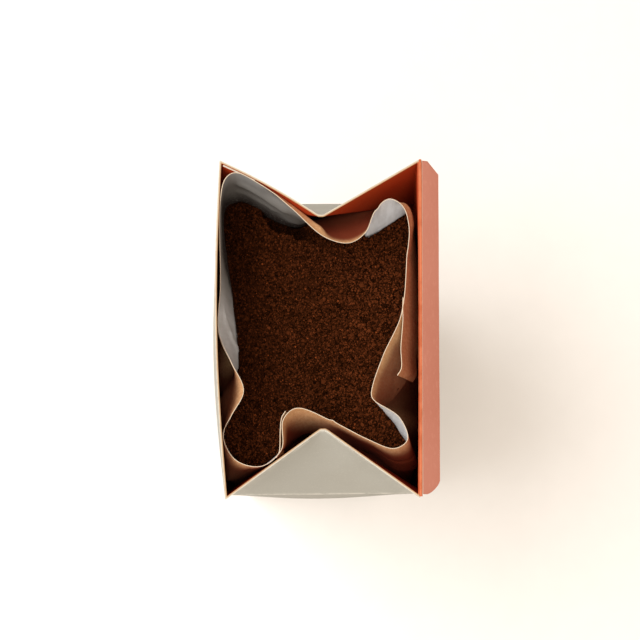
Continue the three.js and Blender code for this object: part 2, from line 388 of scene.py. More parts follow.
class Value:
    """A shader socket that takes part in sums. Each operator adds a Math node."""

    def __init__(self, tree: bpy.types.NodeTree, socket: bpy.types.NodeSocket) -> None:
        """Wrap a socket of a node tree."""
        self.tree = tree
        self.socket = socket

    def _math(self, operation: str, first: Any, second: Any) -> "Value":
        """Add a Math node.

        Args:
            operation: The node's operation.
            first: A Value or a number.
            second: A Value or a number.

        Returns:
            The node's result.
        """
        node = self.tree.nodes.new("ShaderNodeMath")
        node.operation = operation
        for socket, value in zip(node.inputs, (first, second)):
            if isinstance(value, Value):
                self.tree.links.new(value.socket, socket)
            else:
                socket.default_value = value
        return Value(self.tree, node.outputs[0])

    def __add__(self, other: Any) -> "Value":
        """Add."""
        return self._math("ADD", self, other)

    def __radd__(self, other: Any) -> "Value":
        """Add to a number."""
        return self._math("ADD", other, self)

    def __sub__(self, other: Any) -> "Value":
        """Subtract."""
        return self._math("SUBTRACT", self, other)

    def __rsub__(self, other: Any) -> "Value":
        """Subtract from a number."""
        return self._math("SUBTRACT", other, self)

    def __mul__(self, other: Any) -> "Value":
        """Multiply."""
        return self._math("MULTIPLY", self, other)

    def __rmul__(self, other: Any) -> "Value":
        """Multiply a number."""
        return self._math("MULTIPLY", other, self)


class Finish:
    """A material under construction: one Principled shader and what feeds it."""

    def __init__(self, name: str) -> None:
        """Start a material with its shader and its Object coordinates.

        Args:
            name: The material's name.
        """
        self.material = bpy.data.materials.new(name)
        self.material.use_nodes = True
        self.tree = self.material.node_tree
        self.tree.nodes.clear()
        self.shader = self.node("ShaderNodeBsdfPrincipled")
        output = self.node("ShaderNodeOutputMaterial")
        self.tree.links.new(self.shader.outputs["BSDF"], output.inputs["Surface"])
        self.place = self.node("ShaderNodeTexCoord").outputs["Object"]

    def node(
        self,
        kind: str,
        settings: Mapping[str, Any] | None = None,
        inputs: Mapping[str | int, Any] | None = None,
    ) -> bpy.types.Node:
        """Add a node.

        Args:
            kind: The node's type.
            settings: Properties to set first.
            inputs: Sockets by name or number, each with a Value, a socket or a constant.

        Returns:
            The node.
        """
        node = self.tree.nodes.new(kind)
        for key, setting in (settings or {}).items():
            setattr(node, key, setting)
        for key, value in (inputs or {}).items():
            self.feed(node.inputs[key], value)
        return node

    def feed(self, socket: bpy.types.NodeSocket, value: Any) -> None:
        """Link a Value or a socket to a socket, or set a constant on it.

        Args:
            socket: The socket to feed.
            value: A Value, a socket or a constant.
        """
        if isinstance(value, Value):
            self.tree.links.new(value.socket, socket)
        elif isinstance(value, bpy.types.NodeSocket):
            self.tree.links.new(value, socket)
        else:
            socket.default_value = value

    def noise(self, scale: float, detail: float = 3, rough: float = 0.55, stretch: Any = None) -> Value:
        """Add noise over Object coordinates.

        Args:
            scale: Waves per metre.
            detail: Octaves.
            rough: Weight of the finer octaves.
            stretch: Scale of each axis, for streaks.

        Returns:
            Noise from 0 to 1.
        """
        place = self.place
        if stretch is not None:
            place = self.node("ShaderNodeMapping", None, {"Vector": self.place, "Scale": stretch}).outputs[0]
        inputs = {"Vector": place, "Scale": scale, "Detail": detail, "Roughness": rough}
        return Value(self.tree, self.node("ShaderNodeTexNoise", None, inputs).outputs["Fac"])

    def ramp(self, value: Value, low: float, high: float) -> Value:
        """Stretch a value smoothly so that low becomes 0 and high becomes 1, with the ends held.

        Args:
            value: What to stretch.
            low: The value that becomes 0.
            high: The value that becomes 1.

        Returns:
            The stretched value.
        """
        settings = {"clamp": True, "interpolation_type": "SMOOTHSTEP"}
        inputs = {"Value": value, "From Min": low, "From Max": high}
        return Value(self.tree, self.node("ShaderNodeMapRange", settings, inputs).outputs["Result"])

    def mark(self, name: str) -> Value:
        """Read a number that the mesh holds at each point."""
        node = self.node("ShaderNodeAttribute", {"attribute_name": name})
        return Value(self.tree, node.outputs["Fac"])

    def mix(self, factor: Any, first: Any, second: Any) -> bpy.types.NodeSocket:
        """Mix two colours.

        Args:
            factor: Share of the second colour.
            first: A colour or a colour socket.
            second: A colour or a colour socket.

        Returns:
            The mixed colour's socket.
        """
        # The node's colour sockets share their names with others, so they go by number.
        inputs = {0: factor, 6: first, 7: second}
        return self.node("ShaderNodeMix", {"data_type": "RGBA"}, inputs).outputs[2]

    def bump(self, height: Value, distance: float, strength: float = 1) -> None:
        """Raise the surface by a height.

        Args:
            height: Height from 0 to 1.
            distance: Height of 1, in metres.
            strength: Share of the effect.
        """
        inputs = {"Height": height, "Distance": distance, "Strength": strength}
        self.feed(self.shader.inputs["Normal"], self.node("ShaderNodeBump", None, inputs).outputs["Normal"])

    def done(
        self, colour: Any, roughness: Any, specular: float = 0.3, metallic: Any = 0.0
    ) -> bpy.types.Material:
        """Feed the shader and return the material.

        Args:
            colour: A colour or a colour socket.
            roughness: A Value or a number.
            specular: Specular level.
            metallic: A Value or a number.

        Returns:
            The material.
        """
        self.feed(self.shader.inputs["Base Color"], colour)
        self.feed(self.shader.inputs["Roughness"], roughness)
        self.feed(self.shader.inputs["Metallic"], metallic)
        self.shader.inputs["Specular IOR Level"].default_value = specular
        return self.material


@dataclass(frozen=True)
class PrintedBoard:
    """A printed, matt-coated face of the carton's board, rubbed pale along its creases, with a painted
    highlight along the shoulder crease and the bead's top.
    """

    name: str
    tone: Tone
    shade: Tone
    rubbed: Tone
    roughness: float = 0.72
    gloss: float = 0.25

    def material(self) -> bpy.types.Material:
        """Make the face: a slow drift of the print, fibres that show through it and a faint pebble.

        Returns:
            The material.
        """
        finish = Finish(self.name)
        drift = finish.noise(scale=28, detail=4)
        fibre = finish.noise(scale=1800, rough=0.6, stretch=(1, 0.3, 1))
        pebble = finish.noise(scale=900)
        worn = finish.ramp(finish.noise(scale=260, detail=4, rough=0.65), 0.3, 0.62)
        colour = finish.mix(finish.ramp(drift, 0.3, 0.7), linear(self.tone), linear(self.shade))
        colour = finish.mix(finish.ramp(fibre, 0.5, 0.8) * 0.16, colour, linear(self.rubbed))
        # The pale mix is rubbed wear, and also a painted highlight along the shoulder crease and the bead's
        # top.
        colour = finish.mix(finish.mark("wear_and_highlight") * worn * 0.85, colour, linear(self.rubbed))
        finish.bump(pebble * 0.6 + fibre * 0.4, distance=0.00007, strength=0.6)
        return finish.done(colour, self.roughness + (drift - 0.5) * 0.2, self.gloss)


@dataclass(frozen=True)
class CutEdge:
    """The cut edge of a sheet: one tone at its outer face, another at its inner face."""

    name: str
    outer: Tone
    inner: Tone

    def material(self) -> bpy.types.Material:
        """Make the edge: fibres, and stretches where the print or handling stains it.

        Returns:
            The material.
        """
        finish = Finish(self.name)
        stain = finish.ramp(finish.noise(scale=300, detail=4, rough=0.6), 0.45, 0.75) * 0.5
        across = finish.ramp(finish.mark("cut"), 0.3, 0.8)
        colour = finish.mix(across, linear(self.outer), linear(self.inner))
        colour = finish.mix(stain, colour, linear(self.inner))
        finish.bump(finish.noise(scale=3200, detail=2), distance=0.00008)
        return finish.done(colour, roughness=0.9, specular=0.1)


@dataclass(frozen=True)
class KraftFace:
    """The bag's outer face of brown kraft paper, painted dark red-brown deep in the folds as shade and the
    red light that the board throws there.
    """

    tone: Tone = (212, 170, 124)
    shade: Tone = (194, 148, 102)
    fleck: Tone = (132, 86, 50)
    # Painted shade, reddened as by light from the board, deep in the folds.
    folded: Tone = (100, 30, 9)

    def material(self) -> bpy.types.Material:
        """Make the paper: upright fibres, dark flecks and soft crumples.

        Returns:
            The material.
        """
        finish = Finish("bag_kraft")
        fibre = finish.noise(scale=1500, detail=4, rough=0.65, stretch=(1, 1, 0.2))
        fleck = finish.ramp(finish.noise(scale=1900, detail=2), 0.66, 0.74) * 0.3
        crumple = finish.noise(scale=160, detail=5, rough=0.6)
        colour = finish.mix(finish.ramp(fibre, 0.35, 0.7), linear(self.shade), linear(self.tone))
        colour = finish.mix(fleck, colour, linear(self.fleck))
        # Painted shade deep in the folds, where the board stands close.
        colour = finish.mix(finish.mark("painted_shade") * 0.96, colour, linear(self.folded))
        finish.bump(crumple * 0.8 + fibre * 0.2, distance=0.0005, strength=0.4)
        return finish.done(colour, roughness=0.78 + (fibre - 0.5) * 0.15, specular=0.15)


@dataclass(frozen=True)
class BarrierFilm:
    """The bag's inner face of soft silver-white film."""

    tone: Tone = (246, 246, 247)
    shade: Tone = (228, 227, 226)
    # The grey is painted shade, and the dark brown is coffee dust and painted shade.
    painted_shade_grey: Tone = (117, 113, 108)
    dust_and_shade_brown: Tone = (32, 18, 10)

    def material(self) -> bpy.types.Material:
        """Make the film: brushed streaks, painted shade in the far left corner and down the left side, coffee
        dust near the grounds that climbs as painted shade on the left, and fine crinkles.

        Returns:
            The material.
        """
        finish = Finish("bag_film")
        streak = finish.noise(scale=500, detail=4, rough=0.6, stretch=(1, 1, 0.12))
        crinkle = finish.noise(scale=150, detail=5)
        dust_and_shade = finish.mark("dust_and_shade") * finish.ramp(finish.noise(scale=1300, detail=4), 0.2, 0.5)
        colour = finish.mix(finish.ramp(streak, 0.3, 0.7), linear(self.shade), linear(self.tone))
        # Painted shade: the grey darkens the film in the far left corner and down the left side.
        colour = finish.mix(finish.mark("painted_film_shade"), colour, linear(self.painted_shade_grey))
        # Coffee dust near the grounds, and painted shade where the band climbs on the left and far left.
        colour = finish.mix(dust_and_shade, colour, linear(self.dust_and_shade_brown))
        finish.bump(crinkle * 0.85 + streak * 0.15, distance=0.0005, strength=0.35)
        roughness = 0.4 + streak * 0.12 + dust_and_shade * 0.3
        return finish.done(colour, roughness, specular=0.4, metallic=0.12 - dust_and_shade * 0.12)


@dataclass(frozen=True)
class GroundCoffee:
    """Dry coffee grounds."""

    name: str
    tone: Tone
    shade: Tone
    speck: Tone = (120, 58, 26)
    # Painted shade for the coffee in the slump and beside the left film.
    shaded: Tone = (14, 5, 2)

    def material(self, by_grain: bool) -> bpy.types.Material:
        """Make the grounds: each grain or spot has its own brown, and a few are pale chaff.

        Args:
            by_grain: Whether the mesh gives each grain its own number, from 0 to 1.

        Returns:
            The material.
        """
        finish = Finish(self.name)
        if by_grain:
            own = finish.mark("grain")
            share, pale = finish.ramp(own, 0.0, 0.95), finish.ramp(own, 0.972, 0.985)
        else:
            own = finish.noise(scale=1500, rough=0.6)
            share, pale = finish.ramp(own, 0.3, 0.7), finish.ramp(own, 0.74, 0.8)
        colour = finish.mix(share, linear(self.shade), linear(self.tone))
        colour = finish.mix(pale, colour, linear(self.speck))
        # Painted shade: the coffee darkens in the slump beside the far film and beside the film on the left.
        colour = finish.mix(finish.mark("painted_shade") * 0.75, colour, linear(self.shaded))
        finish.bump(finish.noise(scale=2600), distance=0.0002)
        return finish.done(colour, roughness=0.95, specular=0.0)


@dataclass(frozen=True)
class PaleFloor:
    """The surface that the carton stands on."""

    tone: Tone = (229, 224, 219)
    darker: Tone = (225, 220, 215)

    def material(self) -> bpy.types.Material:
        """Make the surface: matt, warm off-white with the faintest grain.

        Returns:
            The material.
        """
        finish = Finish("floor")
        colour = finish.mix(finish.noise(scale=90), linear(self.tone), linear(self.darker))
        return finish.done(colour, roughness=0.85, specular=0.2)


@dataclass
class Carton:
    """The board carton: a bulged body, side panels that lean in and ends that are tucked in."""

    # Sizes of the board, and how far the ends are tucked in at the rim.
    width: float = 65
    depth: float = 96
    shoulder: float = 165
    panel: float = 45
    board: float = 0.6
    floor: float = 1.4
    near_tuck: float = 18.2
    far_tuck: float = 14.9
    # Rounding of the creases, the corners and the foot.
    crease_round: float = 0.8
    corner_round: float = 0.5
    corner_reach: float = 1.2
    crease_share: float = 0.02
    foot_round: float = 0.8
    base_recess: float = 0.5
    # How the walls of the used carton bulge, bow, lean and roll.
    side_bulge: float = 4.3
    bulge_span: float = 1.35
    left_bow: float = 2.1
    right_bow: float = 0.2
    left_ease: float = 0.85
    right_roll: float = 0.3
    roll_reach: float = 8
    near_left_pinch: float = 1.6
    rim_flare: float = 1.2
    end_bulge: float = 1.8
    far_left_bow: float = 0.8
    # Rows and columns of the mesh.
    side_columns: int = 49
    middle_columns: int = 13
    middle_reach: float = 0.8
    wall_columns: int = 6
    arc_columns: int = 3
    body_rows: int = 24
    panel_rows: int = 20
    # The rubbed rim, and the bead of the right crease.
    rim_wear: float = 0.6
    bead_radius: float = 0.6
    bead_out: float = 0.12
    bead_lift: float = 0.05
    materials: list[bpy.types.Material] = field(init=False)
    flap_materials: list[bpy.types.Material] = field(init=False)
    bead_material: bpy.types.Material = field(init=False)

    def __post_init__(self) -> None:
        """Make the finishes of the board, the seal flap and the crease bead."""
        self.materials = [
            PrintedBoard("board_outside", (167, 165, 156), (161, 158, 148), (216, 212, 201)).material(),
            # Painted shade: the shell's inside print is deeper and redder than the flap's and the bead's
            # copies of the same print.
            PrintedBoard("board_inside", (179, 66, 28), (170, 58, 23), (200, 120, 82), 0.75, 0.1).material(),
            CutEdge("board_edge", (180, 173, 158), (158, 124, 90)).material(),
        ]
        # Painted light: the flap and the bead take paler, less red copies of the inside print, for the light
        # they stand in.
        flap = PrintedBoard("flap_inside", (162, 103, 85), (155, 95, 76), (196, 142, 120), 0.62)
        self.flap_materials = [self.materials[0], flap.material(), self.materials[2]]
        self.bead_material = PrintedBoard("bead", (164, 82, 46), (154, 74, 40), (196, 118, 82)).material()

    @property
    def top(self) -> float:
        """Height of the rim along the board."""
        return self.shoulder + self.panel

    def lean(self, tuck: float) -> float:
        """Find a side panel's lean at an end.

        The board doesn't stretch, so width times sin(lean) is twice the panel times
        (1 - cos(fold) cos(lean)), where sin(fold) is the tuck over the panel.

        Args:
            tuck: How far the middle of the end's rim is pushed in.

        Returns:
            The lean, in radians.
        """
        reach = 2 * self.panel * np.cos(np.arcsin(tuck / self.panel))
        slack = np.arccos(2 * self.panel / np.hypot(self.width, reach))
        return float(np.arctan2(self.width, reach) - slack)

    def rise(self, height: Array) -> Array:
        """Length of board above the shoulder crease, as a hyperbola that rounds the crease."""
        past = height - self.shoulder
        return 0.5 * (past + np.sqrt(past**2 + self.crease_round**2))

    def bulge(self, side: float | Array, share: Array, height: Array) -> Array:
        """Find how far a side wall stands out: a sine along its depth and a sine up to the shoulder.

        Args:
            side: Positive for the right wall, negative for the left.
            share: Share of the way from the near end to the far end.
            height: Height along the board.

        Returns:
            The bulge.
        """
        turn = np.pi * np.minimum(height, self.shoulder) / (self.bulge_span * self.shoulder)
        up = np.clip((height - self.shoulder) / self.panel, 0, 1)
        rim = np.where(np.asarray(side) > 0, self.right_bow, self.left_bow)
        return (self.side_bulge * np.sin(turn) * (1 - up) + rim * up) * np.sin(np.pi * np.clip(share, 0, 1))

    def pinch(self, side: float | Array, share: float | Array, height: Array) -> Array:
        """Find how far the left wall is pressed in: most at the near shoulder, falling off evenly.

        Args:
            side: Positive for the right wall, negative for the left.
            share: Share of the way from the near end to the far end.
            height: Height along the board.

        Returns:
            The distance.
        """
        up = np.minimum(height, self.shoulder) / self.shoulder
        return np.where(np.asarray(side) > 0, 0, self.near_left_pinch * (1 - np.clip(share, 0, 1)) * up)

    def end_swell(self, across: Array, height: Array) -> Array:
        """How far an end wall stands out: a sine up to the shoulder and a cosine across."""
        wave = np.sin(np.pi * np.clip(height / self.shoulder, 0, 1))
        return self.end_bulge * wave * np.cos(np.pi / 2 * across)

    def bow(self, height: Array) -> Array:
        """How far the middle of the far left panel stands out: evenly more towards the rim."""
        return self.far_left_bow * (self.rise(height) / self.panel)[:, None] * np.array([0, 1, 0])

    def side_grid(self, side: int, share: Array, height: Array) -> Array:
        """Make the outer face of a side wall, by share of its depth and height along the board.

        Args:
            side: 1 for the right wall, -1 for the left.
            share: Shares of the way from the near end to the far end.
            height: Heights along the board.

        Returns:
            Grid of points, heights by shares.
        """
        share, height = share[None, :], height[:, None]
        near, far = self.lean(self.near_tuck), self.lean(self.far_tuck)
        lean = near + (far - near) * share
        up = self.rise(height)
        above = up / self.panel
        upright = (self.left_ease if side < 0 else 0) * above - self.pinch(side, share, height) * (1 - above)
        roll = (self.right_roll if side > 0 else 0) * ease(height, self.top - self.roll_reach, self.top)
        x = self.width / 2 - up * np.sin(lean) + upright + roll + self.bulge(side, share, height)
        y = (share - 0.5) * (self.depth + 2 * self.rim_flare * above)
        z = height - up + up * np.cos(lean)
        return np.stack(np.broadcast_arrays(side * x, y, z), axis=-1)

    def end_grid(self, end: int, across: Array, height: Array) -> Array:
        """Make the outer face of an end between its two slanted creases, which meet at the rim.

        Args:
            end: 1 for the far end, -1 for the near one.
            across: Places from one crease (-1) to the other (1).
            height: Heights along the board.

        Returns:
            Grid of points, heights by places.
        """
        across, height = across[None, :], height[:, None]
        tuck = self.far_tuck if end > 0 else self.near_tuck
        up = self.rise(height)
        share = np.clip(up / self.panel, self.crease_share, 1 - self.crease_share)
        half = (self.width / 2 - self.pinch(across, max(end, 0), height)) * (1 - share)
        y = self.depth / 2 - up / self.panel * tuck + self.end_swell(across, height)
        z = height - up + up * np.sqrt(1 - (tuck / self.panel) ** 2)
        return np.stack(np.broadcast_arrays(across * half, end * y, z), axis=-1)

    def corner_columns(self, end: int, side: int, height: Array) -> Array:
        """Make an end's columns from an upright corner to its slanted crease, both rounded.

        A rounded edge's middle is half the sharp edge and a quarter of each neighbour, as on a parabola.

        Args:
            end: 1 for the far end, -1 for the near one.
            side: 1 for the right corner, -1 for the left.
            height: Heights along the board.

        Returns:
            Grid of points, heights by columns.
        """
        trim = self.corner_round / self.depth
        shares = np.array([1.0, 1 - trim] if end > 0 else [0.0, trim])
        corner, before = np.moveaxis(self.side_grid(side, shares, height), 1, 0)
        crease = self.end_grid(end, np.array([side]), height)[:, 0]
        other = self.end_grid(end, np.array([-side]), height)[:, 0]
        after = part_way(corner, crease, self.corner_round, 0.15)
        first = part_way(corner, crease, self.corner_reach, 0.3)
        last = part_way(crease, corner, self.crease_round, 0.3)
        beyond = part_way(crease, other, self.crease_round, 0.08)
        shares = np.linspace(0, 1, self.wall_columns + 2)[1:-1]
        bow = self.bow(height) * (end > 0 > side)
        between = [first + (last - first) * share + bow * np.sin(np.pi * share) for share in shares]
        columns = [
            before,
            0.25 * before + 0.5 * corner + 0.25 * after,
            after,
            first,
            *between,
            last,
            0.25 * last + 0.5 * crease + 0.25 * beyond,
            beyond,
        ]
        return np.stack(columns, axis=1)

    def end_columns(self, end: int, first: int, height: Array) -> Array:
        """Make all the columns of an end, from the corner on one side to the other.

        Args:
            end: 1 for the far end, -1 for the near one.
            first: The side to start from: 1 for the right, -1 for the left.
            height: Heights along the board.

        Returns:
            Grid of points, heights by columns.
        """
        start = self.corner_columns(end, first, height)
        finish = self.corner_columns(end, -first, height)[:, ::-1]
        across = first * np.linspace(self.middle_reach, -self.middle_reach, self.middle_columns)
        middle = self.end_grid(end, across, height)
        return np.concatenate([start, middle, finish], axis=1)

    def side_shares(self) -> Array:
        """Shares of the depth at a side wall's columns, short of its rounded corners."""
        trim = self.corner_reach / self.depth
        return np.linspace(trim, 1 - trim, self.side_columns)

    def end_width(self) -> int:
        """Number of columns of an end, rounded corners included."""
        return 2 * (self.arc_columns + self.wall_columns + 4) + self.middle_columns

    def outer_face(self, height: Array) -> Array:
        """Make the carton's outer face, anticlockwise from the near right corner.

        Args:
            height: Heights along the board.

        Returns:
            Grid of points, heights by columns, whose last column meets the first.
        """
        share = self.side_shares()
        sides = [
            self.side_grid(1, share, height),
            self.end_columns(1, 1, height),
            self.side_grid(-1, share[::-1], height),
            self.end_columns(-1, -1, height),
        ]
        return np.concatenate(sides, axis=1)

    def inset(self, outer: Array, depth: float) -> Array:
        """Move the outer face in along its normals, with each upright corner cut straight across.

        Args:
            outer: Grid of the outer face.
            depth: Distance to move it.

        Returns:
            Grid of the moved face.
        """
        inner = outer - depth * grid_normals(outer, True)
        side, end, arc = self.side_columns, self.end_width(), self.arc_columns
        share = np.arange(1, arc + 1)[:, None] / (arc + 1)
        for first in (side, side + end - arc, 2 * side + end, 2 * (side + end) - arc):
            before, after = inner[:, first - 1, None], inner[:, (first + arc) % outer.shape[1], None]
            inner[:, first : first + arc] = before + (after - before) * share
        return inner

    def wear_and_highlight(self, height: Array) -> Array:
        """Mark where the print is rubbed: bells across the shoulder, the rim, the corners and the creases.
        The shoulder's bell is also a painted highlight.

        Args:
            height: Heights along the board.

        Returns:
            Shares from 0 to 1, heights by columns.
        """
        corner_bell, shoulder_bell, rim_bell = 1.6, 0.8, 0.7
        share = self.side_shares()
        side = np.exp(-((np.minimum(share, 1 - share) * self.depth / corner_bell) ** 2))
        corner = np.concatenate([[0.9, 1.0, 0.9, 0.4], np.zeros(self.wall_columns), [0.35, 0.7, 0.35]])
        end = np.concatenate([corner, np.zeros(self.middle_columns), corner[::-1]])
        columns = np.concatenate([side, end, side, end])
        # The shoulder's bell is rubbing, and a painted highlight along the crease.
        shoulder = np.exp(-(((height - self.shoulder) / shoulder_bell) ** 2))
        rim = np.exp(-(((height - self.top) / rim_bell) ** 2))
        return np.maximum(columns[None, :], np.maximum(shoulder, rim)[:, None])

    def heights(self) -> Array:
        """List the heights of the shell's rows, closer together at the shoulder crease and the rim.

        Returns:
            Heights along the board.
        """
        crease = self.shoulder + np.array([-4, -2, -1, -0.5, 0, 0.5, 1, 2, 4])
        body = np.linspace(self.foot_round, self.shoulder - 8, self.body_rows)
        panel = np.linspace(self.shoulder + 7, self.top - 1.5, self.panel_rows)
        return np.concatenate([body, crease, panel, [self.top - 0.6, self.top]])

    def shell(self) -> bpy.types.Object:
        """Make the folded board: from under the base, up the outside, over the rim and down the inside.

        Returns:
            The shell's object.
        """
        height = self.heights()
        outer = self.outer_face(height)
        inner = self.inset(outer, self.board)
        inner[0, :, 2] = self.floor
        foot = self.inset(outer[:2], self.foot_round / 2)[:1]
        foot[..., 2] = 0
        ring = foot * np.array([0.985, 0.99, 1]) + np.array([0, 0, self.base_recess])
        loop = capped(np.concatenate([ring, foot, outer, inner[::-1]]))
        columns = loop.shape[1]
        first = 1 + len(ring) + len(foot)
        rim = first + len(outer) - 1
        layers = np.full((len(loop) - 1, columns), Layer.OUTSIDE, dtype=np.int64)
        layers[rim] = Layer.EDGE
        layers[rim + 1 :] = Layer.INSIDE
        # The right rim is the seal flap's crease, and the far left corner is the blank's glued edge.
        layers[rim, : self.side_columns] = Layer.INSIDE
        layers[first:rim, self.side_columns + self.end_width() - 2] = Layer.EDGE
        wear_and_highlight = np.zeros(loop.shape[:2])
        wear_and_highlight[first : rim + 1] = self.wear_and_highlight(height)
        wear_and_highlight[rim + 1] = self.rim_wear
        cut = np.zeros(loop.shape[:2])
        cut[rim + 1] = 1
        faces = grid_faces(len(loop), columns, True)
        marks = {"wear_and_highlight": wear_and_highlight, "cut": cut}
        return make_object("carton_shell", loop.reshape(-1, 3), faces, self.materials, layers.ravel(), marks)

    def base_flap(self) -> bpy.types.Object:
        """Make the glued flap under the base: a plate whose outline is a superellipse within the base.

        Returns:
            The flap's object.
        """
        margin = np.array([1.8, 9.0])
        power, ground, overlap = 0.12, 0.02, 0.05
        half = np.array([self.width, self.depth]) / 2 - margin
        angle = np.linspace(0, 2 * np.pi, 96, endpoint=False)
        ring = np.stack([np.cos(angle), np.sin(angle)], axis=-1)
        ring = half * np.sign(ring) * np.abs(ring) ** power
        levels = (ground, self.base_recess + overlap)
        loop = capped(np.stack([np.column_stack([ring, np.full(len(ring), level)]) for level in levels]))
        layers = np.repeat([Layer.OUTSIDE, Layer.EDGE, Layer.INSIDE], len(ring))
        faces = grid_faces(len(loop), len(ring), True)
        return make_object("base_flap", loop.reshape(-1, 3), faces, self.materials, layers)

    def glue_tab(self, width: float = 11, drop: float = 0.5, below: float = 40) -> bpy.types.Object:
        """Make the tab that is glued inside the far end beside its left corner.

        Args:
            width: Width of the tab along the rim.
            drop: How far its top stays below the rim.
            below: How far it goes below the shoulder.

        Returns:
            The tab's object.
        """
        clear, thick = 0.06, 0.45
        height = np.linspace(self.shoulder - below, self.top - drop, 40)
        columns = self.corner_columns(1, -1, height)[:, ::-1]
        corner, crease = columns[:, -1 - self.arc_columns], columns[:, 2]
        reach = np.linalg.norm(crease - corner, axis=-1, keepdims=True)
        share = np.minimum(width / reach, 0.9)
        place = share * np.linspace(1, 0.04, 14)
        face = corner[:, None] + (crease - corner)[:, None] * place[..., None]
        face = face + self.bow(height)[:, None] * np.sin(np.pi * place)[..., None]
        normal = grid_normals(face, False)
        lift = self.board + clear
        return open_sheet("glue_tab", face - lift * normal, face - (lift + thick) * normal, self.materials)

    @cached_property
    def inner_reach(self) -> tuple[Array, Array]:
        """Work out how far the inner face stands from the middle axis above the shoulder.

        Each column of the inner face is read at even heights, and each outline at even angles, in
        straight lines.

        Returns:
            The heights, and the distances by angle and height.
        """
        rows, splits, angles = 67, 8, 1441
        inner = self.inset(self.outer_face(np.linspace(self.shoulder, self.top, rows)), self.board)
        levels = np.linspace(self.shoulder + 1, self.top - 2, 64)
        columns = np.moveaxis(inner, 0, -1)
        outline = np.array([[np.interp(levels, z, x), np.interp(levels, z, y)] for x, y, z in columns])
        share = np.linspace(0, 1, splits, endpoint=False)[:, None, None]
        outline = outline[:, None] + (np.roll(outline, -1, axis=0) - outline)[:, None] * share
        x, y = np.moveaxis(outline.reshape(-1, 2, len(levels)), 1, 0)
        turns = np.linspace(0, 2 * np.pi, angles)
        pairs = zip(np.arctan2(y, x).T, np.hypot(x, y).T)
        reach = [np.interp(turns, angle, away, period=2 * np.pi) for angle, away in pairs]
        return levels, np.array(reach).T

    def within(self, points: Array, gap: float) -> Array:
        """Draw points in towards the middle axis until they are clear of the inner face.

        Args:
            points: Points in any arrangement.
            gap: Clear distance to leave.

        Returns:
            The points, moved where they stood too far out.
        """
        levels, reach = self.inner_reach
        x, y, z = np.moveaxis(points, -1, 0)
        turn = np.arctan2(y, x) % (2 * np.pi) / (2 * np.pi) * (len(reach) - GRID_END)
        level = np.clip((z - levels[0]) / (levels[1] - levels[0]), 0, len(levels) - GRID_END)
        limit = np.where(z < levels[0], np.inf, read_cells(reach, turn, level) - gap)
        scale = np.minimum(1, limit / np.maximum(np.hypot(x, y), 1e-6))
        return np.stack([x * scale, y * scale, z], axis=-1)

    def crease_bead(self) -> bpy.types.Object:
        """Make the rolled crease along the right rim: a round bead, carried along the rim's line.

        Returns:
            The bead's object.
        """
        share = np.linspace(0.006, 0.998, 61)
        path = self.side_grid(1, share, np.array([self.top]))[0]
        angle = np.linspace(0, 2 * np.pi, 20, endpoint=False)
        wobble = 1 + 0.05 * ripple(path[:, 1], path[:, 1] * 0, 9, 31)
        taper = 0.6 + 0.4 * ease(np.minimum(share, 1 - share), 0, 0.014)
        radius = (self.bead_radius * wobble * taper)[:, None]
        x = path[:, None, 0] + self.bead_out + radius * np.cos(angle)
        z = path[:, None, 2] + self.bead_lift + radius * np.sin(angle)
        rows = capped(np.stack([x, np.broadcast_to(path[:, None, 1], x.shape), z], axis=-1))
        faces = grid_faces(len(rows), len(angle), True)[:, ::-1]
        # Painted highlight, with some rubbing: the bead is paler along its top.
        wear_and_highlight = np.broadcast_to(0.45 * ease(np.sin(angle), 0.3, 1), rows.shape[:2])
        return make_object(
            "crease_bead", rows.reshape(-1, 3), faces, [self.bead_material], None, {"wear_and_highlight": wear_and_highlight}
        )

    def build(self) -> None:
        """Make and dress the carton's pieces."""
        dress(self.shell(), Body.BOX, Slot.BOARD, "carton")
        dress(self.base_flap(), Body.BOX, Slot.BOARD)
        dress(self.glue_tab(), Body.BOX, Slot.BOARD)
        dress(self.crease_bead(), Body.BOX, Slot.BOARD_INSIDE)


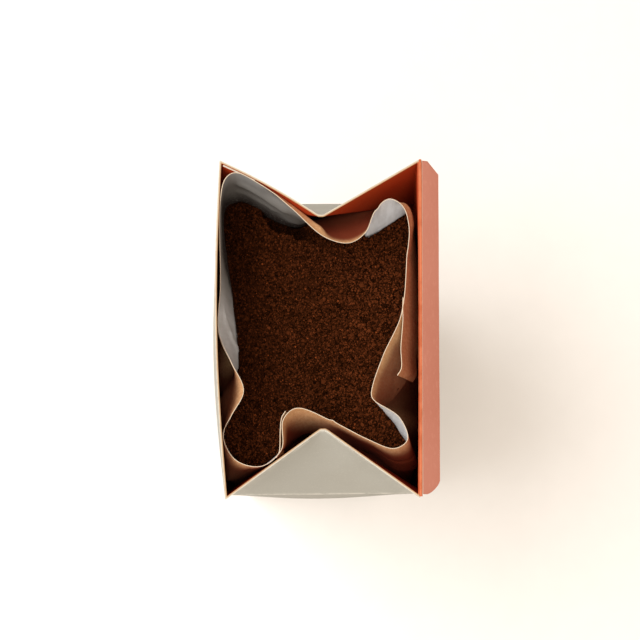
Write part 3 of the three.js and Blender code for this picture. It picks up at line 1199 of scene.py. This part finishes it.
@dataclass
class SealFlap:
    """The narrow flap that is creased along the right rim and folded out."""

    carton: Carton
    start: float = 0.25
    stand: float = 0.3
    width: float = 5.4
    chamfer: float = 3.8
    far_reach: float = 0.5
    droop: float = np.radians(15)
    curl: float = 0.25
    waviness: float = 0.12
    near_power: float = 1.4
    far_cut: float = 0.9

    def outline(self, along: Array, near_end: float, far_end: float) -> Array:
        """Find the flap's width at places along it: full, less the cut corners.

        The near corner is a chamfer that bows out, as a superellipse, and the far one a straight chamfer.

        Args:
            along: Places along the crease.
            near_end: Place of the near end.
            far_end: Place of the far end.

        Returns:
            The width at each place.
        """
        near = np.clip((along - near_end) / self.chamfer, 0, 1)
        far = np.clip((far_end - along) / self.chamfer, 0, 1)
        rounded = 1 - np.maximum(0, 1 - (1 - near) ** self.near_power) ** (1 / self.near_power)
        return self.width - self.chamfer * np.maximum(rounded, self.far_cut * (1 - far))

    def build(self) -> None:
        """Make the flap as a plate whose width follows its outline, bent at the crease's angle."""
        box = self.carton
        trim = box.rim_flare / (box.depth + 2 * box.rim_flare)
        near, far = box.side_grid(1, np.array([trim, 1 - trim]), np.array([box.top]))[0]
        middle = (near + far) / 2 + np.array([box.right_bow, 0, 0])
        crease = (far - near) * np.array([1, 1, 0])
        half = float(np.linalg.norm(crease)) / 2
        crease /= 2 * half
        out = np.array([crease[1], -crease[0], 0]) * np.cos(self.droop) - np.array([0, 0, np.sin(self.droop)])
        up = np.cross(out, crease)
        far_end = half + self.far_reach
        # Columns are closer together at the cut corners.
        ends = np.array([0, 0.15, 0.4, 0.8, 1.4, 2.2, 3.0, 3.8])
        between = np.linspace(5 - half, far_end - 5, 60)
        along = np.concatenate([ends - half, between, far_end - ends[::-1]])
        share = np.linspace(0, 1, 15)
        reach = self.start + (self.outline(along, -half, far_end)[:, None] - self.start) * share
        wave = self.waviness * ripple(along, along * 0, 38, 12)[:, None] * share
        lift = self.stand + wave - self.curl * share**2
        face = middle + along[:, None, None] * crease + reach[..., None] * out + lift[..., None] * up
        under = face.transpose(1, 0, 2)
        made = open_sheet("seal_flap_board", under, under + box.board * up, box.flap_materials)
        dress(made, Body.FLAP, Slot.BOARD_INSIDE, "seal_flap")


@dataclass(frozen=True)
class Fold:
    """A soft crease of the bag's wall: a line from one place to another, with a width and a depth.

    A place is a row of the mouth's table and a height. The wall is pushed in where the depth is above 0.
    """

    start: Pair
    end: Pair
    width: float
    depth: float
    row_length: float = 7.5

    def push(self, row: Array, height: Array) -> Array:
        """Find how far the wall is pushed: a bell across the line that fades past its ends.

        Args:
            row: Places round the bag, in rows of the mouth's table.
            height: Heights above the floor.

        Returns:
            Distances, heights by places.
        """
        scale = np.array([self.row_length, 1])
        start, end = np.array(self.start) * scale, np.array(self.end) * scale
        line = end - start
        place = np.stack(np.broadcast_arrays(row[None, :] * self.row_length, height[:, None]), axis=-1)
        share = np.clip(((place - start) @ line) / (line @ line), 0, 1)
        away = np.linalg.norm(place - start - share[..., None] * line, axis=-1)
        return self.depth * np.exp(-((away / self.width) ** 2))


@dataclass(frozen=True)
class Strip:
    """A loose strip of the bag: its depth, its lean per millimetre, its seed and its line along the rim.

    The lean and the line's points are in x and y, and the bag's outside is on the line's left.
    """

    name: str
    drop: float
    slope: Pair
    seed: int
    line: tuple[Pair, ...]


@dataclass
class Bag:
    """The kraft bag: full at the bottom, gathered into folds above the grounds and cut off at its mouth."""

    carton: Carton
    wall: float = 0.2
    gap: float = 0.5
    press: float = 0.2
    corner_power: float = 12
    full_height: float = 143
    level: float = 184
    rim: float = 206
    corner_lift: float = 4
    lift_reach: float = 40
    per_span: int = 12
    low_rows: int = 14
    high_rows: int = 72
    crumple: float = 0.1
    crumple_slant: float = 0.6
    creases: int = 30
    crease_seed: int = 7
    raggedness: float = 0.15
    strip_wave: float = 0.25
    materials: list[bpy.types.Material] = field(init=False)
    rim_line: Array = field(init=False)
    level_line: Array = field(init=False)
    fill_line: Array = field(init=False)
    columns: int = field(init=False)
    # Crests, hollows and corners of the mouth: x and y at the rim, then x and y at the grounds.
    mouth: tuple[tuple[float, float, float, float], ...] = (
        (23.1, 3.3, 30.6, 4.5),
        (25.2, 20.2, 30.8, 22.0),
        (26.0, 29.5, 30.0, 32.0),
        (24.2, 36.0, 29.4, 39.8),
        (20.3, 38.3, 24.6, 37.0),
        (16.2, 35.2, 14.2, 31.6),
        (12.9, 28.1, 17.6, 41.6),
        (8.2, 25.1, 9.0, 40.4),
        (0.8, 27.0, 0.8, 38.4),
        (-8.7, 35.3, -8.2, 36.2),
        (-17.6, 42.1, -18.3, 40.0),
        (-25.2, 45.4, -25.2, 42.7),
        (-28.2, 42.9, -29.6, 40.6),
        (-29.3, 12.0, -27.2, 12.0),
        (-29.7, -1.4, -25.6, -1.6),
        (-26.4, -9.9, -25.8, -9.4),
        (-22.8, -18.3, -31.0, -18.6),
        (-26.2, -25.2, -31.0, -25.8),
        (-28.55, -31.0, -30.6, -34.8),
        (-25.0, -38.0, -28.8, -43.4),
        (-17.6, -39.9, -18.6, -40.2),
        (-11.8, -35.2, -10.0, -33.4),
        (-11.2, -26.6, -6.2, -30.0),
        (-7.6, -23.5, -2.0, -29.2),
        (2.6, -27.3, 6.4, -32.0),
        (12.0, -32.2, 15.4, -35.8),
        (20.3, -35.2, 23.6, -41.2),
        (24.2, -32.6, 29.0, -39.6),
        (22.0, -26.2, 22.9, -27.8),
        (14.9, -21.3, 19.6, -22.2),
        (14.1, -19.7, 22.0, -19.4),
        (17.6, -8.6, 29.4, -9.0),
    )
    # The open seam along the rim, and the loose lap inside the near fold.
    strips: tuple[Strip, ...] = (
        Strip(
            "bag_seam",
            drop=20,
            slope=(0.32, 0.0),
            seed=5,
            line=(
                (23.7, 8.6),
                (23.5, 5.0),
                (23.5, 2.2),
                (23.2, -2.0),
                (22.7, -6.8),
                (22.8, -11.8),
                (21.6, -14.2),
            ),
        ),
        Strip(
            "bag_lap",
            drop=14,
            slope=(0.06, -0.05),
            seed=8,
            line=(
                (-10.7, -24.2),
                (-11.8, -26.2),
                (-12.2, -29.6),
                (-12.3, -33.0),
                (-12.5, -35.6),
                (-13.4, -37.4),
            ),
        ),
    )
    folds: tuple[Fold, ...] = (
        Fold((9.3, 198.0), (10.8, 199.0), 1.6, 0.75),
        Fold((9.6, 192.5), (10.9, 193.5), 1.3, 0.4),
        Fold((13.5, 200.0), (14.2, 187.0), 0.9, 0.5),
        Fold((13.95, 194.0), (14.35, 187.0), 0.6, 0.35),
        Fold((25.3, 193.6), (27.5, 192.6), 0.5, 0.5),
        Fold((1.05, 205.0), (1.0, 195.0), 1.1, 0.2),
        Fold((24.0, 206.5), (24.05, 203.0), 0.5, 0.35),
        Fold((12.7, 207.0), (14.0, 207.0), 6.0, -0.25),
        Fold((4.9, 206.0), (4.6, 190.0), 1.3, 0.3),
        Fold((30.5, 204.0), (30.8, 180.0), 1.4, 0.4),
        Fold((8.2, 202.4), (9.5, 203.2), 2.0, -1.5),
        Fold((2.3, 200.5), (3.1, 200.5), 3.2, -1.1),
    )

    def __post_init__(self) -> None:
        """Make the bag's three finishes and run its outlines."""
        self.materials = [
            KraftFace().material(),
            BarrierFilm().material(),
            CutEdge("bag_edge", (190, 171, 148), (180, 167, 150)).material(),
        ]
        points = np.array(self.mouth)
        self.rim_line = closed_spline(points[:, :2], self.per_span)
        self.level_line = closed_spline(points[:, 2:], self.per_span)
        weights = zip((-2, -1, 0, 1, 2), (1, 2, 3, 2, 1))
        evened = sum(np.roll(points[:, 2:], shift, axis=0) * weight / 9 for shift, weight in weights)
        self.fill_line = closed_spline(evened, self.per_span)
        self.columns = len(self.rim_line)

    def filled(self, height: Array) -> Array:
        """Make the full part's outer face: a superellipse that follows the carton's walls.

        Args:
            height: Heights above the floor.

        Returns:
            Grid of x and y, heights by columns.
        """
        box = self.carton
        half = np.array([box.width, box.depth]) / 2 - box.board - self.gap
        power = self.corner_power
        scale = (np.abs(self.fill_line / half) ** power).sum(axis=-1, keepdims=True) ** (-1 / power)
        plain = (self.fill_line * scale)[None]
        height = height[:, None]
        side, share = plain[..., 0], plain[..., 1] / box.depth + 0.5
        out = (box.bulge(side, share, height) - box.pinch(side, share, height)) / half[0]
        swell = box.end_swell(plain[..., 0] / (box.width / 2), height) / half[1]
        return plain * (1 + np.stack([out, swell], axis=-1))

    def plain_face(self, height: Array) -> Array:
        """Make the bag's outer face without its wrinkles.

        Up to the grounds it goes from the full outline to the gathered one by 3t² - 2t³, later along the
        left side than elsewhere. Above them it goes in a straight line to the rim, whose far left corner
        stands higher.

        Args:
            height: Heights above the floor.

        Returns:
            Grid of points, heights by columns.
        """
        flank = (1 - ease(np.abs(self.fill_line[:, 1]), 26, 36)) * ease(-self.fill_line[:, 0], 0, 20)
        gather = (ease(height, self.full_height, self.level)[:, None] ** (1 + 2 * flank))[..., None]
        above = np.clip((height - self.level) / (self.rim - self.level), 0, None)[:, None, None]
        low = self.filled(height) * (1 - gather) + self.level_line * gather
        plan = low + (self.rim_line - self.level_line) * above
        corner = np.array([-self.carton.width, self.carton.depth]) / 2
        away = np.linalg.norm(plan - corner, axis=-1)
        lift = self.corner_lift * above[..., 0] * (1 - ease(away, 0, self.lift_reach))
        return np.concatenate([plan, (height[:, None] + lift)[..., None]], axis=-1)

    def wrinkles(self, plain: Array, height: Array) -> Array:
        """Find how far the wall is pushed in: its folds, slanted random creases and a fine crumple.

        Each random crease is a bell across a slanted line, and the crumple is smooth noise.

        Args:
            plain: Grid of the plain face.
            height: Heights above the floor.

        Returns:
            Depths, heights by columns.
        """
        draw = np.random.default_rng(self.crease_seed)
        count = self.creases
        rows = len(self.mouth)
        row = np.arange(self.columns) / self.per_span
        centre = draw.uniform(0, rows, count)[:, None, None]
        slope = draw.normal(0, 0.04, count)[:, None, None]
        width = draw.uniform(0.07, 0.16, count)[:, None, None]
        depth = draw.uniform(0.08, 0.3, count)[:, None, None]
        middle = draw.uniform(self.level - 6, self.rim - 6, count)[:, None, None]
        reach = draw.uniform(5, 12, count)[:, None, None]
        up = height[None, :, None]
        across = (row[None, None, :] - centre - slope * (up - self.rim) + rows / 2) % rows - rows / 2
        ridges = (depth * np.exp(-((across / width) ** 2) - ((up - middle) / reach) ** 2)).sum(axis=0)
        slant = plain[..., 2] * self.crumple_slant
        crumple = ripple(plain[..., 0] + slant, plain[..., 1] - slant, 9, 21)
        fade = ease(height, self.level - 25, self.level - 4)[:, None]
        steady = 1 - 0.7 * ease(height, self.rim - 9, self.rim)[:, None]
        folds = sum(fold.push(row, height) for fold in self.folds)
        return fade * (steady * (ridges + self.crumple * crumple) + folds)

    def outer_face(self, height: Array) -> Array:
        """Make the bag's outer face: the plain one, pushed in by the wrinkles and held in by the carton.

        Args:
            height: Heights above the floor.

        Returns:
            Grid of points, heights by columns.
        """
        plain = self.plain_face(height)
        face = plain - self.wrinkles(plain, height)[..., None] * grid_normals(plain, True)
        return self.carton.within(face, self.press)

    def inner_line(self, height: float) -> Array:
        """Find the inner face's outline at one height, as x and y."""
        grid = self.outer_face(height + np.array([-0.5, 0, 0.5]))
        return (grid - self.wall * grid_normals(grid, True))[1, :, :2]

    def dust_and_shade(self, loop: Array) -> Array:
        """Find the share of the film darkened near the grounds: a low band of coffee dust, raised on the left
        and far left as painted shade.

        Args:
            loop: Points of the bag.

        Returns:
            The share at each point.
        """
        x, y, z = np.moveaxis(loop, -1, 0)
        left = ease(-x, 18, 24) * ease(y, 12, 24) * (1 - ease(y, 36, 44))
        corner = ease(y, 30, 40) * ease(-x, 6, 16)
        low = self.level + 1.5 + 13 * left
        return 1 - ease(z, low, low + 2 + 9 * left + 10 * corner)

    def painted_shade(self, loop: Array) -> Array:
        """Find the share of shade on the paper where the board stands close: it grows from the rim down.

        Args:
            loop: Points of the bag.

        Returns:
            The share at each point.
        """
        # Each step runs over millimetres: across, along, or down from the rim.
        x, y, z = np.moveaxis(loop, -1, 0)
        down = self.rim - z
        # The far tuck lets light in further down on its left.
        lit = 5 * (1 - ease(x, -4, 4))
        far = ease(y, 16, 22) * (1 - ease(x, 17, 20)) * ease(down, lit - 1, lit + 3)
        far = far * (1 - 0.05 * ease(down, 8, 20))
        near = ease(-y, 24, 30) * (0.85 + 0.15 * ease(x, -20, -12)) * ease(down, 0, 9)
        left = 0.85 * ease(-x, 22, 26) * (1 - ease(y, -12, -6)) * ease(down, 2, 12)
        right = 0.75 * ease(x, 12, 15) * (1 - ease(np.abs(y + 13), 7, 12)) * ease(down, 0, 6)
        return np.maximum.reduce([far, near, left, right])

    def painted_film_shade(self, loop: Array) -> Array:
        """Find the share of painted shade on the film: all in the far left corner, less down the left side.

        Args:
            loop: Points of the bag.

        Returns:
            The share at each point.
        """
        x, y, z = np.moveaxis(loop, -1, 0)
        far = ease(y, -4, 22) * (1 - ease(x, -3, 6))
        far = far * (1 - 0.25 * ease(z, self.rim - 6, self.rim + 4))
        return np.maximum(far, 0.25 * ease(-x, 18, 24))

    def tube(self) -> bpy.types.Object:
        """Make the bag: from under its base up the outside, over the rim and down the inside.

        Returns:
            The bag's object.
        """
        bottom = self.carton.floor + self.gap
        low = np.linspace(bottom, self.full_height, self.low_rows)
        high = np.linspace(self.full_height + 4, self.rim, self.high_rows)
        height = np.concatenate([low, high])
        outer = self.outer_face(height)
        ragged = self.raggedness * ripple(outer[-1, :, 0], outer[-1, :, 1], 16, 3)
        outer[..., 2] += ragged * ease(height, self.rim - 10, self.rim)[:, None]
        inner = outer - self.wall * grid_normals(outer, True)
        inner[0, :, 2] = bottom + self.wall
        loop = capped(np.concatenate([outer, inner[::-1]]))
        row_layers = np.full(len(loop) - 1, Layer.OUTSIDE, dtype=np.int64)
        row_layers[len(outer)] = Layer.EDGE
        row_layers[len(outer) + 1 :] = Layer.INSIDE
        layers = np.repeat(row_layers, self.columns)
        faces = grid_faces(len(loop), self.columns, True)
        marks = {"dust_and_shade": self.dust_and_shade(loop), "painted_film_shade": self.painted_film_shade(loop), "painted_shade": self.painted_shade(loop)}
        return make_object("kraft_bag", loop.reshape(-1, 3), faces, self.materials, layers, marks, sharp=60)

    def strip(self, kind: Strip) -> bpy.types.Object:
        """Make a loose strip that hangs from its line, with waves that grow along it.

        Args:
            kind: The strip's line and shape.

        Returns:
            The strip's object.
        """
        path = open_spline(np.array(kind.line), 40)
        depth = np.linspace(kind.drop, 0, 24)[:, None]
        along, down = np.broadcast_arrays(path[None, :, 1], depth)
        wave = self.strip_wave * ripple(along, down, 13, kind.seed)
        x = path[:, 0] + kind.slope[0] * depth + wave * np.linspace(0, 1, len(path))
        y = path[:, 1] + kind.slope[1] * depth
        face = np.stack(np.broadcast_arrays(x, y, self.rim - depth), axis=-1)[:, ::-1]
        face = self.carton.within(face, self.press + self.wall)
        half = self.wall / 2 * grid_normals(face, False)
        return open_sheet(kind.name, face + half, face - half, self.materials)

    def build(self) -> None:
        """Make and dress the bag's pieces."""
        dress(self.tube(), Body.BOX, Slot.BAG, "bag")
        for kind in self.strips:
            dress(self.strip(kind), Body.BOX, Slot.BAG)


@dataclass(frozen=True)
class GrainKind:
    """A kind of loose grain.

    It has a number, sizes across, a shape, a share that gathers on the right, a lift in grain sizes,
    tones, and a share without chaff.
    """

    count: int
    small: float
    large: float
    rounder: bool = False
    gather: float = 0.0
    lift: Pair = (-0.1, 0.35)
    tones: Pair = (0.0, 1.0)
    plain: float = 0.993

    def corners(self) -> Array:
        """Give the corners of the plain shape: an octahedron, or an icosahedron for a rounder grain.

        Returns:
            The corners, one a row.
        """
        if not self.rounder:
            return np.concatenate([np.eye(3), -np.eye(3)])
        golden = (1 + 5**0.5) / 2
        ones = np.array([[0, a, b * golden] for a in (-1, 1) for b in (-1, 1)])
        corners = np.concatenate([np.roll(ones, turn, axis=1) for turn in range(3)])
        return corners / np.linalg.norm(corners[0])


@dataclass
class Grounds:
    """The coffee grounds: a crumbly bed with real relief and loose grains all over it."""

    bag: Bag
    level: float = 186
    swell: float = 0.9
    cell: float = 0.2
    half_size: Pair = (36.0, 52.0)
    columns: int = 640
    rings: int = 118
    slump: float = 5.5
    slump_start: Pair = (-16.2, 33.6)
    kinds: tuple[GrainKind, ...] = (
        GrainKind(16000, 0.3, 1.1),
        GrainKind(14000, 0.35, 1.3),
        GrainKind(3400, 0.8, 2.0, True, 0.75, (-0.35, 0.05), (0.1, 0.75), 1.0),
    )
    seed: int = 11
    relief: Array = field(init=False)

    def __post_init__(self) -> None:
        """Work out the relief: clumps, crumbs and grit, each the highest of many domes."""
        clumps = self.domes(count=330, radius=(2.0, 4.2), rise=(0.4, 1.1), seed=2)
        crumbs = self.domes(count=1500, radius=(0.9, 1.9), rise=(0.3, 0.85), seed=3)
        grit = self.domes(count=9000, radius=(0.4, 0.8), rise=(0.12, 0.4), seed=4)
        self.relief = clumps + crumbs + grit
        self.relief -= self.relief.mean()

    def domes(self, count: int, radius: Pair, rise: Pair, seed: int) -> Array:
        """Spread domes over a grid of cells, and keep the highest at each.

        A dome's height is its rise times 1 - (distance / radius)², and it is narrower one way.

        Args:
            count: Number of domes.
            radius: Smallest and largest radius.
            rise: Smallest and largest height.
            seed: Seed of the draw.

        Returns:
            Height of each cell.
        """
        draw = np.random.default_rng(seed)
        half = np.array(self.half_size)
        shape = (2 * half / self.cell).astype(int) + 1
        centre = draw.uniform(-half, half, (count, 2))
        across = draw.uniform(*radius, (count, 1, 1))
        high = draw.uniform(*rise, (count, 1, 1))
        turn = draw.uniform(0, np.pi, (count, 1, 1))
        narrow = draw.uniform(0.6, 1.0, (count, 1, 1))
        reach = np.arange(-int(radius[1] / self.cell) - 1, int(radius[1] / self.cell) + 2)
        cell = np.round((centre + half) / self.cell).astype(int)
        i = np.clip(cell[:, 0, None, None] + reach[:, None], 0, shape[0] - 1)
        j = np.clip(cell[:, 1, None, None] + reach[None, :], 0, shape[1] - 1)
        dx = i * self.cell - half[0] - centre[:, 0, None, None]
        dy = j * self.cell - half[1] - centre[:, 1, None, None]
        u = dx * np.cos(turn) + dy * np.sin(turn)
        v = (dy * np.cos(turn) - dx * np.sin(turn)) / narrow
        dome = high * np.clip(1 - (u**2 + v**2) / across**2, 0, None)
        cells = np.zeros(shape)
        np.maximum.at(cells, tuple(np.broadcast_arrays(i, j)), dome)
        return cells

    def height(self, x: Array, y: Array) -> Array:
        """Find the bed's height: a slow swell and the relief, less the hollow.

        The swell is a sine across times a cosine along.

        Args:
            x: Places across.
            y: Places along.

        Returns:
            Heights above the floor.
        """
        rows, columns = self.relief.shape
        u = np.clip((x + self.half_size[0]) / self.cell, 0, rows - GRID_END)
        v = np.clip((y + self.half_size[1]) / self.cell, 0, columns - GRID_END)
        slow = np.sin(x * 0.11 + 0.6) * np.cos(y * 0.085 - 0.4)
        return self.level + self.swell * slow + read_cells(self.relief, u, v) - self.hollow(x, y)

    def hollow(self, x: Array, y: Array) -> Array:
        """Find the depth of the slump beside the far film: a step across a ragged line, faded at its ends.

        Args:
            x: Places across.
            y: Places along.

        Returns:
            The depth at each place.
        """
        ragged = 0.8 * ripple(x, y, 5, 17)
        # Distances past the line and along it, which aren't quite square to each other.
        right, on = x - self.slump_start[0], y - self.slump_start[1]
        past = right * 0.29 + on * 0.956 + ragged
        along = right * 0.92 + on * 0.385 + ragged
        return self.slump * ease(past, 0, 1.6) * ease(along, 0, 1.4) * (1 - ease(along, 8, 16))

    def shade(self, x: Array, y: Array) -> Array:
        """Find the share of shade on the coffee: all of it in the hollow, some beside the film on the left.

        Args:
            x: Places across.
            y: Places along.

        Returns:
            The share at each place.
        """
        left = 0.5 * (1 - ease(x, -28, -17)) * ease(y, -30, -10)
        return np.maximum(self.hollow(x, y) / self.slump, left)

    def bed(self) -> bpy.types.Object:
        """Make the bed: walls inside the bag and a top of rings that shrink to its middle.

        Returns:
            The bed's object.
        """
        bag = self.bag
        clear, lift = 0.1, 0.3
        bottom = bag.carton.floor + bag.gap + bag.wall + lift
        walls = np.concatenate([np.linspace(bottom, 140, 6), np.linspace(150, self.level - 10, 6)])
        grid = bag.outer_face(walls)
        sides = grid - (bag.wall + clear) * grid_normals(grid, True)
        sides[:, :, 2] = walls[:, None]
        spread = np.linspace(0, bag.columns, self.columns, endpoint=False)
        low, share = spread.astype(int), (spread % 1)[:, None]
        sides = sides[:, low] * (1 - share) + sides[:, (low + 1) % bag.columns] * share
        line = bag.inner_line(self.level)
        edge = line[low] * (1 - share) + line[(low + 1) % bag.columns] * share
        top = edge[None] * np.linspace(1, 0, self.rings + 1)[:-1, None, None]
        top = np.concatenate([top, self.height(top[..., 0], top[..., 1])[..., None]], axis=-1)
        rows = capped(np.concatenate([sides, top]))
        faces = grid_faces(len(rows), self.columns, True)
        # The bed's browns are darker than the loose grains': painted shade in the gaps between them.
        finish = GroundCoffee("grounds_bed", (54, 24, 10), (17, 6, 2)).material(False)
        # Painted shade in the slump and beside the left film.
        marks = {"painted_shade": self.shade(rows[..., 0], rows[..., 1])}
        return make_object("coffee_bed", rows.reshape(-1, 3), faces, [finish], None, marks, sharp=180)

    def scatter(self, count: int, draw: np.random.Generator) -> Array:
        """Spread places evenly over the bed, clear of the bag.

        Args:
            count: Number of places.
            draw: Seeded generator.

        Returns:
            Places as x and y, one a row.
        """
        edge = self.bag.inner_line(self.level)
        turn = np.arctan2(edge[:, 1], edge[:, 0])
        order = np.argsort(turn)
        low, high = edge.min(axis=0), edge.max(axis=0)
        places = draw.uniform(low, high, (count * 2, 2))
        angle = np.arctan2(places[:, 1], places[:, 0])
        limit = np.interp(angle, turn[order], np.hypot(*edge.T)[order], period=2 * np.pi)
        return places[np.hypot(*places.T) < limit - 0.5][:count]

    def grains(
        self, kind: GrainKind, name: str, seed: int, finish: bpy.types.Material
    ) -> bpy.types.Object:
        """Make loose grains as one mesh: regular solids with pushed corners, turned at random.

        Args:
            kind: The grains' number, size and shape.
            name: The object's name.
            seed: Seed of the draw.
            finish: The grains' material.

        Returns:
            The grains' object.
        """
        draw = np.random.default_rng(seed)
        places = self.scatter(kind.count, draw)
        # Some kinds gather towards the right and the near end.
        likely = 1 - kind.gather * (1 - ease(places[:, 0] - 0.35 * places[:, 1], -14, 24))
        places = places[draw.uniform(0, 1, len(places)) < likely]
        count, corners = len(places), kind.corners()
        each = len(corners)
        # Corners are pushed in, out and aside, most grains are near the small size, and some are flat.
        shape = corners[None] * draw.uniform(0.72, 1.22, (count, each, 1))
        shape = shape + draw.normal(0, 0.12, (count, each, 3))
        across = kind.small + (kind.large - kind.small) * draw.beta(1.5, 4.0, count)
        shape = shape * (across / 2)[:, None, None] * draw.uniform(0.7, 1.2, (count, 1, 3))
        turn, _ = np.linalg.qr(draw.normal(size=(count, 3, 3)))
        turn = turn * np.linalg.det(turn)[:, None, None]
        shape = np.einsum("gij,gkj->gki", turn, shape)
        height = self.height(*places.T) + across * draw.uniform(*kind.lift, count)
        points = shape + np.column_stack([places, height])[:, None]
        index = (np.arange(count) * each)[:, None, None] + regular_faces(corners)
        # Grains are painted paler on the right and at the near end, for the light that falls there, and a few
        # are chaff.
        painted_light = 0.72 + 0.34 * ease(places[:, 0], -4, 22) + 0.25 * ease(-places[:, 1], 10, 36)
        own = np.minimum(draw.uniform(*kind.tones, count) * painted_light, 0.96)
        own = np.where(draw.uniform(0, 1, count) > kind.plain, 1.0, own)
        # The grains take the bed's painted shade in the slump and beside the left film.
        marks = {"grain": np.repeat(own, each), "painted_shade": np.repeat(self.shade(*places.T), each)}
        faces = index.reshape(-1, 3)
        return make_object(name, points.reshape(-1, 3), faces, [finish], None, marks, sharp=20)

    def build(self) -> None:
        """Make and dress the bed and its loose grains."""
        dress(self.bed(), Body.BOX, Slot.COFFEE, "grounds")
        finish = GroundCoffee("loose_grains", (89, 43, 20), (20, 7, 2)).material(True)
        for number, kind in enumerate(self.kinds):
            made = self.grains(kind, f"loose_grains_{number + 1}", self.seed + number, finish)
            dress(made, Body.BOX, Slot.COFFEE)


@dataclass(frozen=True)
class Lamp:
    """A lamp that faces the top of the carton: its size is across the view and up it."""

    name: str
    place: tuple[float, float, float]
    size: Pair
    watts: float
    colour: tuple[float, float, float]
    aim: tuple[float, float, float] = (0, 0, 0.19)

    def build(self) -> None:
        """Make the lamp."""
        lamp = bpy.data.lights.new(self.name, "AREA")
        lamp.shape = "RECTANGLE"
        lamp.size, lamp.size_y = self.size
        lamp.energy = self.watts
        lamp.color = self.colour
        made = bpy.data.objects.new(self.name, lamp)
        made.location = self.place
        ray = Vector(self.aim) - Vector(self.place)
        made.rotation_euler = ray.to_track_quat("-Z", "Y").to_euler()
        bpy.context.scene.collection.objects.link(made)


@dataclass
class Studio:
    """The floor, the light and the camera."""

    eye: tuple[float, float, float] = (-5.688, -46.924, 515.265)
    tilt: float = np.radians(9.008)
    pan: float = np.radians(0.950)
    roll: float = np.radians(-0.536)
    focal_pixels: float = 1080
    frame_pixels: float = 640
    sensor: float = 36
    floor_half: float = 1500
    sky: float = 0.62
    sky_colour: tuple[float, float, float, float] = (1.0, 0.86, 0.71, 1.0)
    lamps: tuple[Lamp, ...] = (
        Lamp("window", (-0.64, 0.12, 1.30), (1.0, 0.66), 18.5, (0.94, 0.97, 1.0)),
        Lamp("lamp", (0.08, -0.16, 1.36), (0.3, 0.3), 5.3, (1.0, 0.98, 0.95)),
        Lamp("fill", (-0.35, -0.65, 1.20), (0.8, 0.8), 4, (1.0, 0.97, 0.93)),
    )

    def camera(self) -> None:
        """Make the camera: it looks down, tilted towards the far end, then rolled about its own axis."""
        tilt, pan, roll = self.tilt, self.pan, self.roll
        look = Vector((np.sin(pan) * np.cos(tilt), np.sin(tilt), -np.cos(tilt) * np.cos(pan))).normalized()
        right = look.cross(Vector((0, 1, 0))).normalized()
        up = right.cross(look)
        side = np.cos(roll) * right + np.sin(roll) * up
        top = -np.sin(roll) * right + np.cos(roll) * up
        lens = bpy.data.cameras.new("camera")
        lens.sensor_width = self.sensor
        lens.lens = self.sensor * self.focal_pixels / self.frame_pixels
        lens.clip_start = 0.01
        made = bpy.data.objects.new("camera", lens)
        turn = Matrix((side, top, -look)).transposed().to_4x4()
        made.matrix_world = Matrix.Translation(Vector(self.eye) * MM) @ turn
        bpy.context.scene.collection.objects.link(made)
        bpy.context.scene.camera = made

    def floor(self) -> None:
        """Make the floor, level with the carton's base."""
        half = self.floor_half
        corners = np.array([[-half, -half, 0], [half, -half, 0], [half, half, 0], [-half, half, 0]])
        made = make_object("floor", corners, np.array([[0, 1, 2, 3]]), [PaleFloor().material()])

    def build(self) -> None:
        """Make the studio and set a plain view of its colours."""
        scene = bpy.context.scene
        scene.view_settings.view_transform = "Standard"
        scene.view_settings.look = "None"
        world = bpy.data.worlds.new("studio")
        world.use_nodes = True
        background = world.node_tree.nodes["Background"]
        background.inputs["Color"].default_value = self.sky_colour
        background.inputs["Strength"].default_value = self.sky
        scene.world = world
        self.camera()
        self.floor()
        for lamp in self.lamps:
            lamp.build()


def main() -> None:
    """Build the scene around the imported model."""
    logging.basicConfig(level=logging.INFO, format="%(message)s")
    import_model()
    Studio().build()
    carton = Carton()
    carton.build()
    SealFlap(carton).build()
    bag = Bag(carton)
    bag.build()
    Grounds(bag).build()


if __name__ == "__main__":
    main()
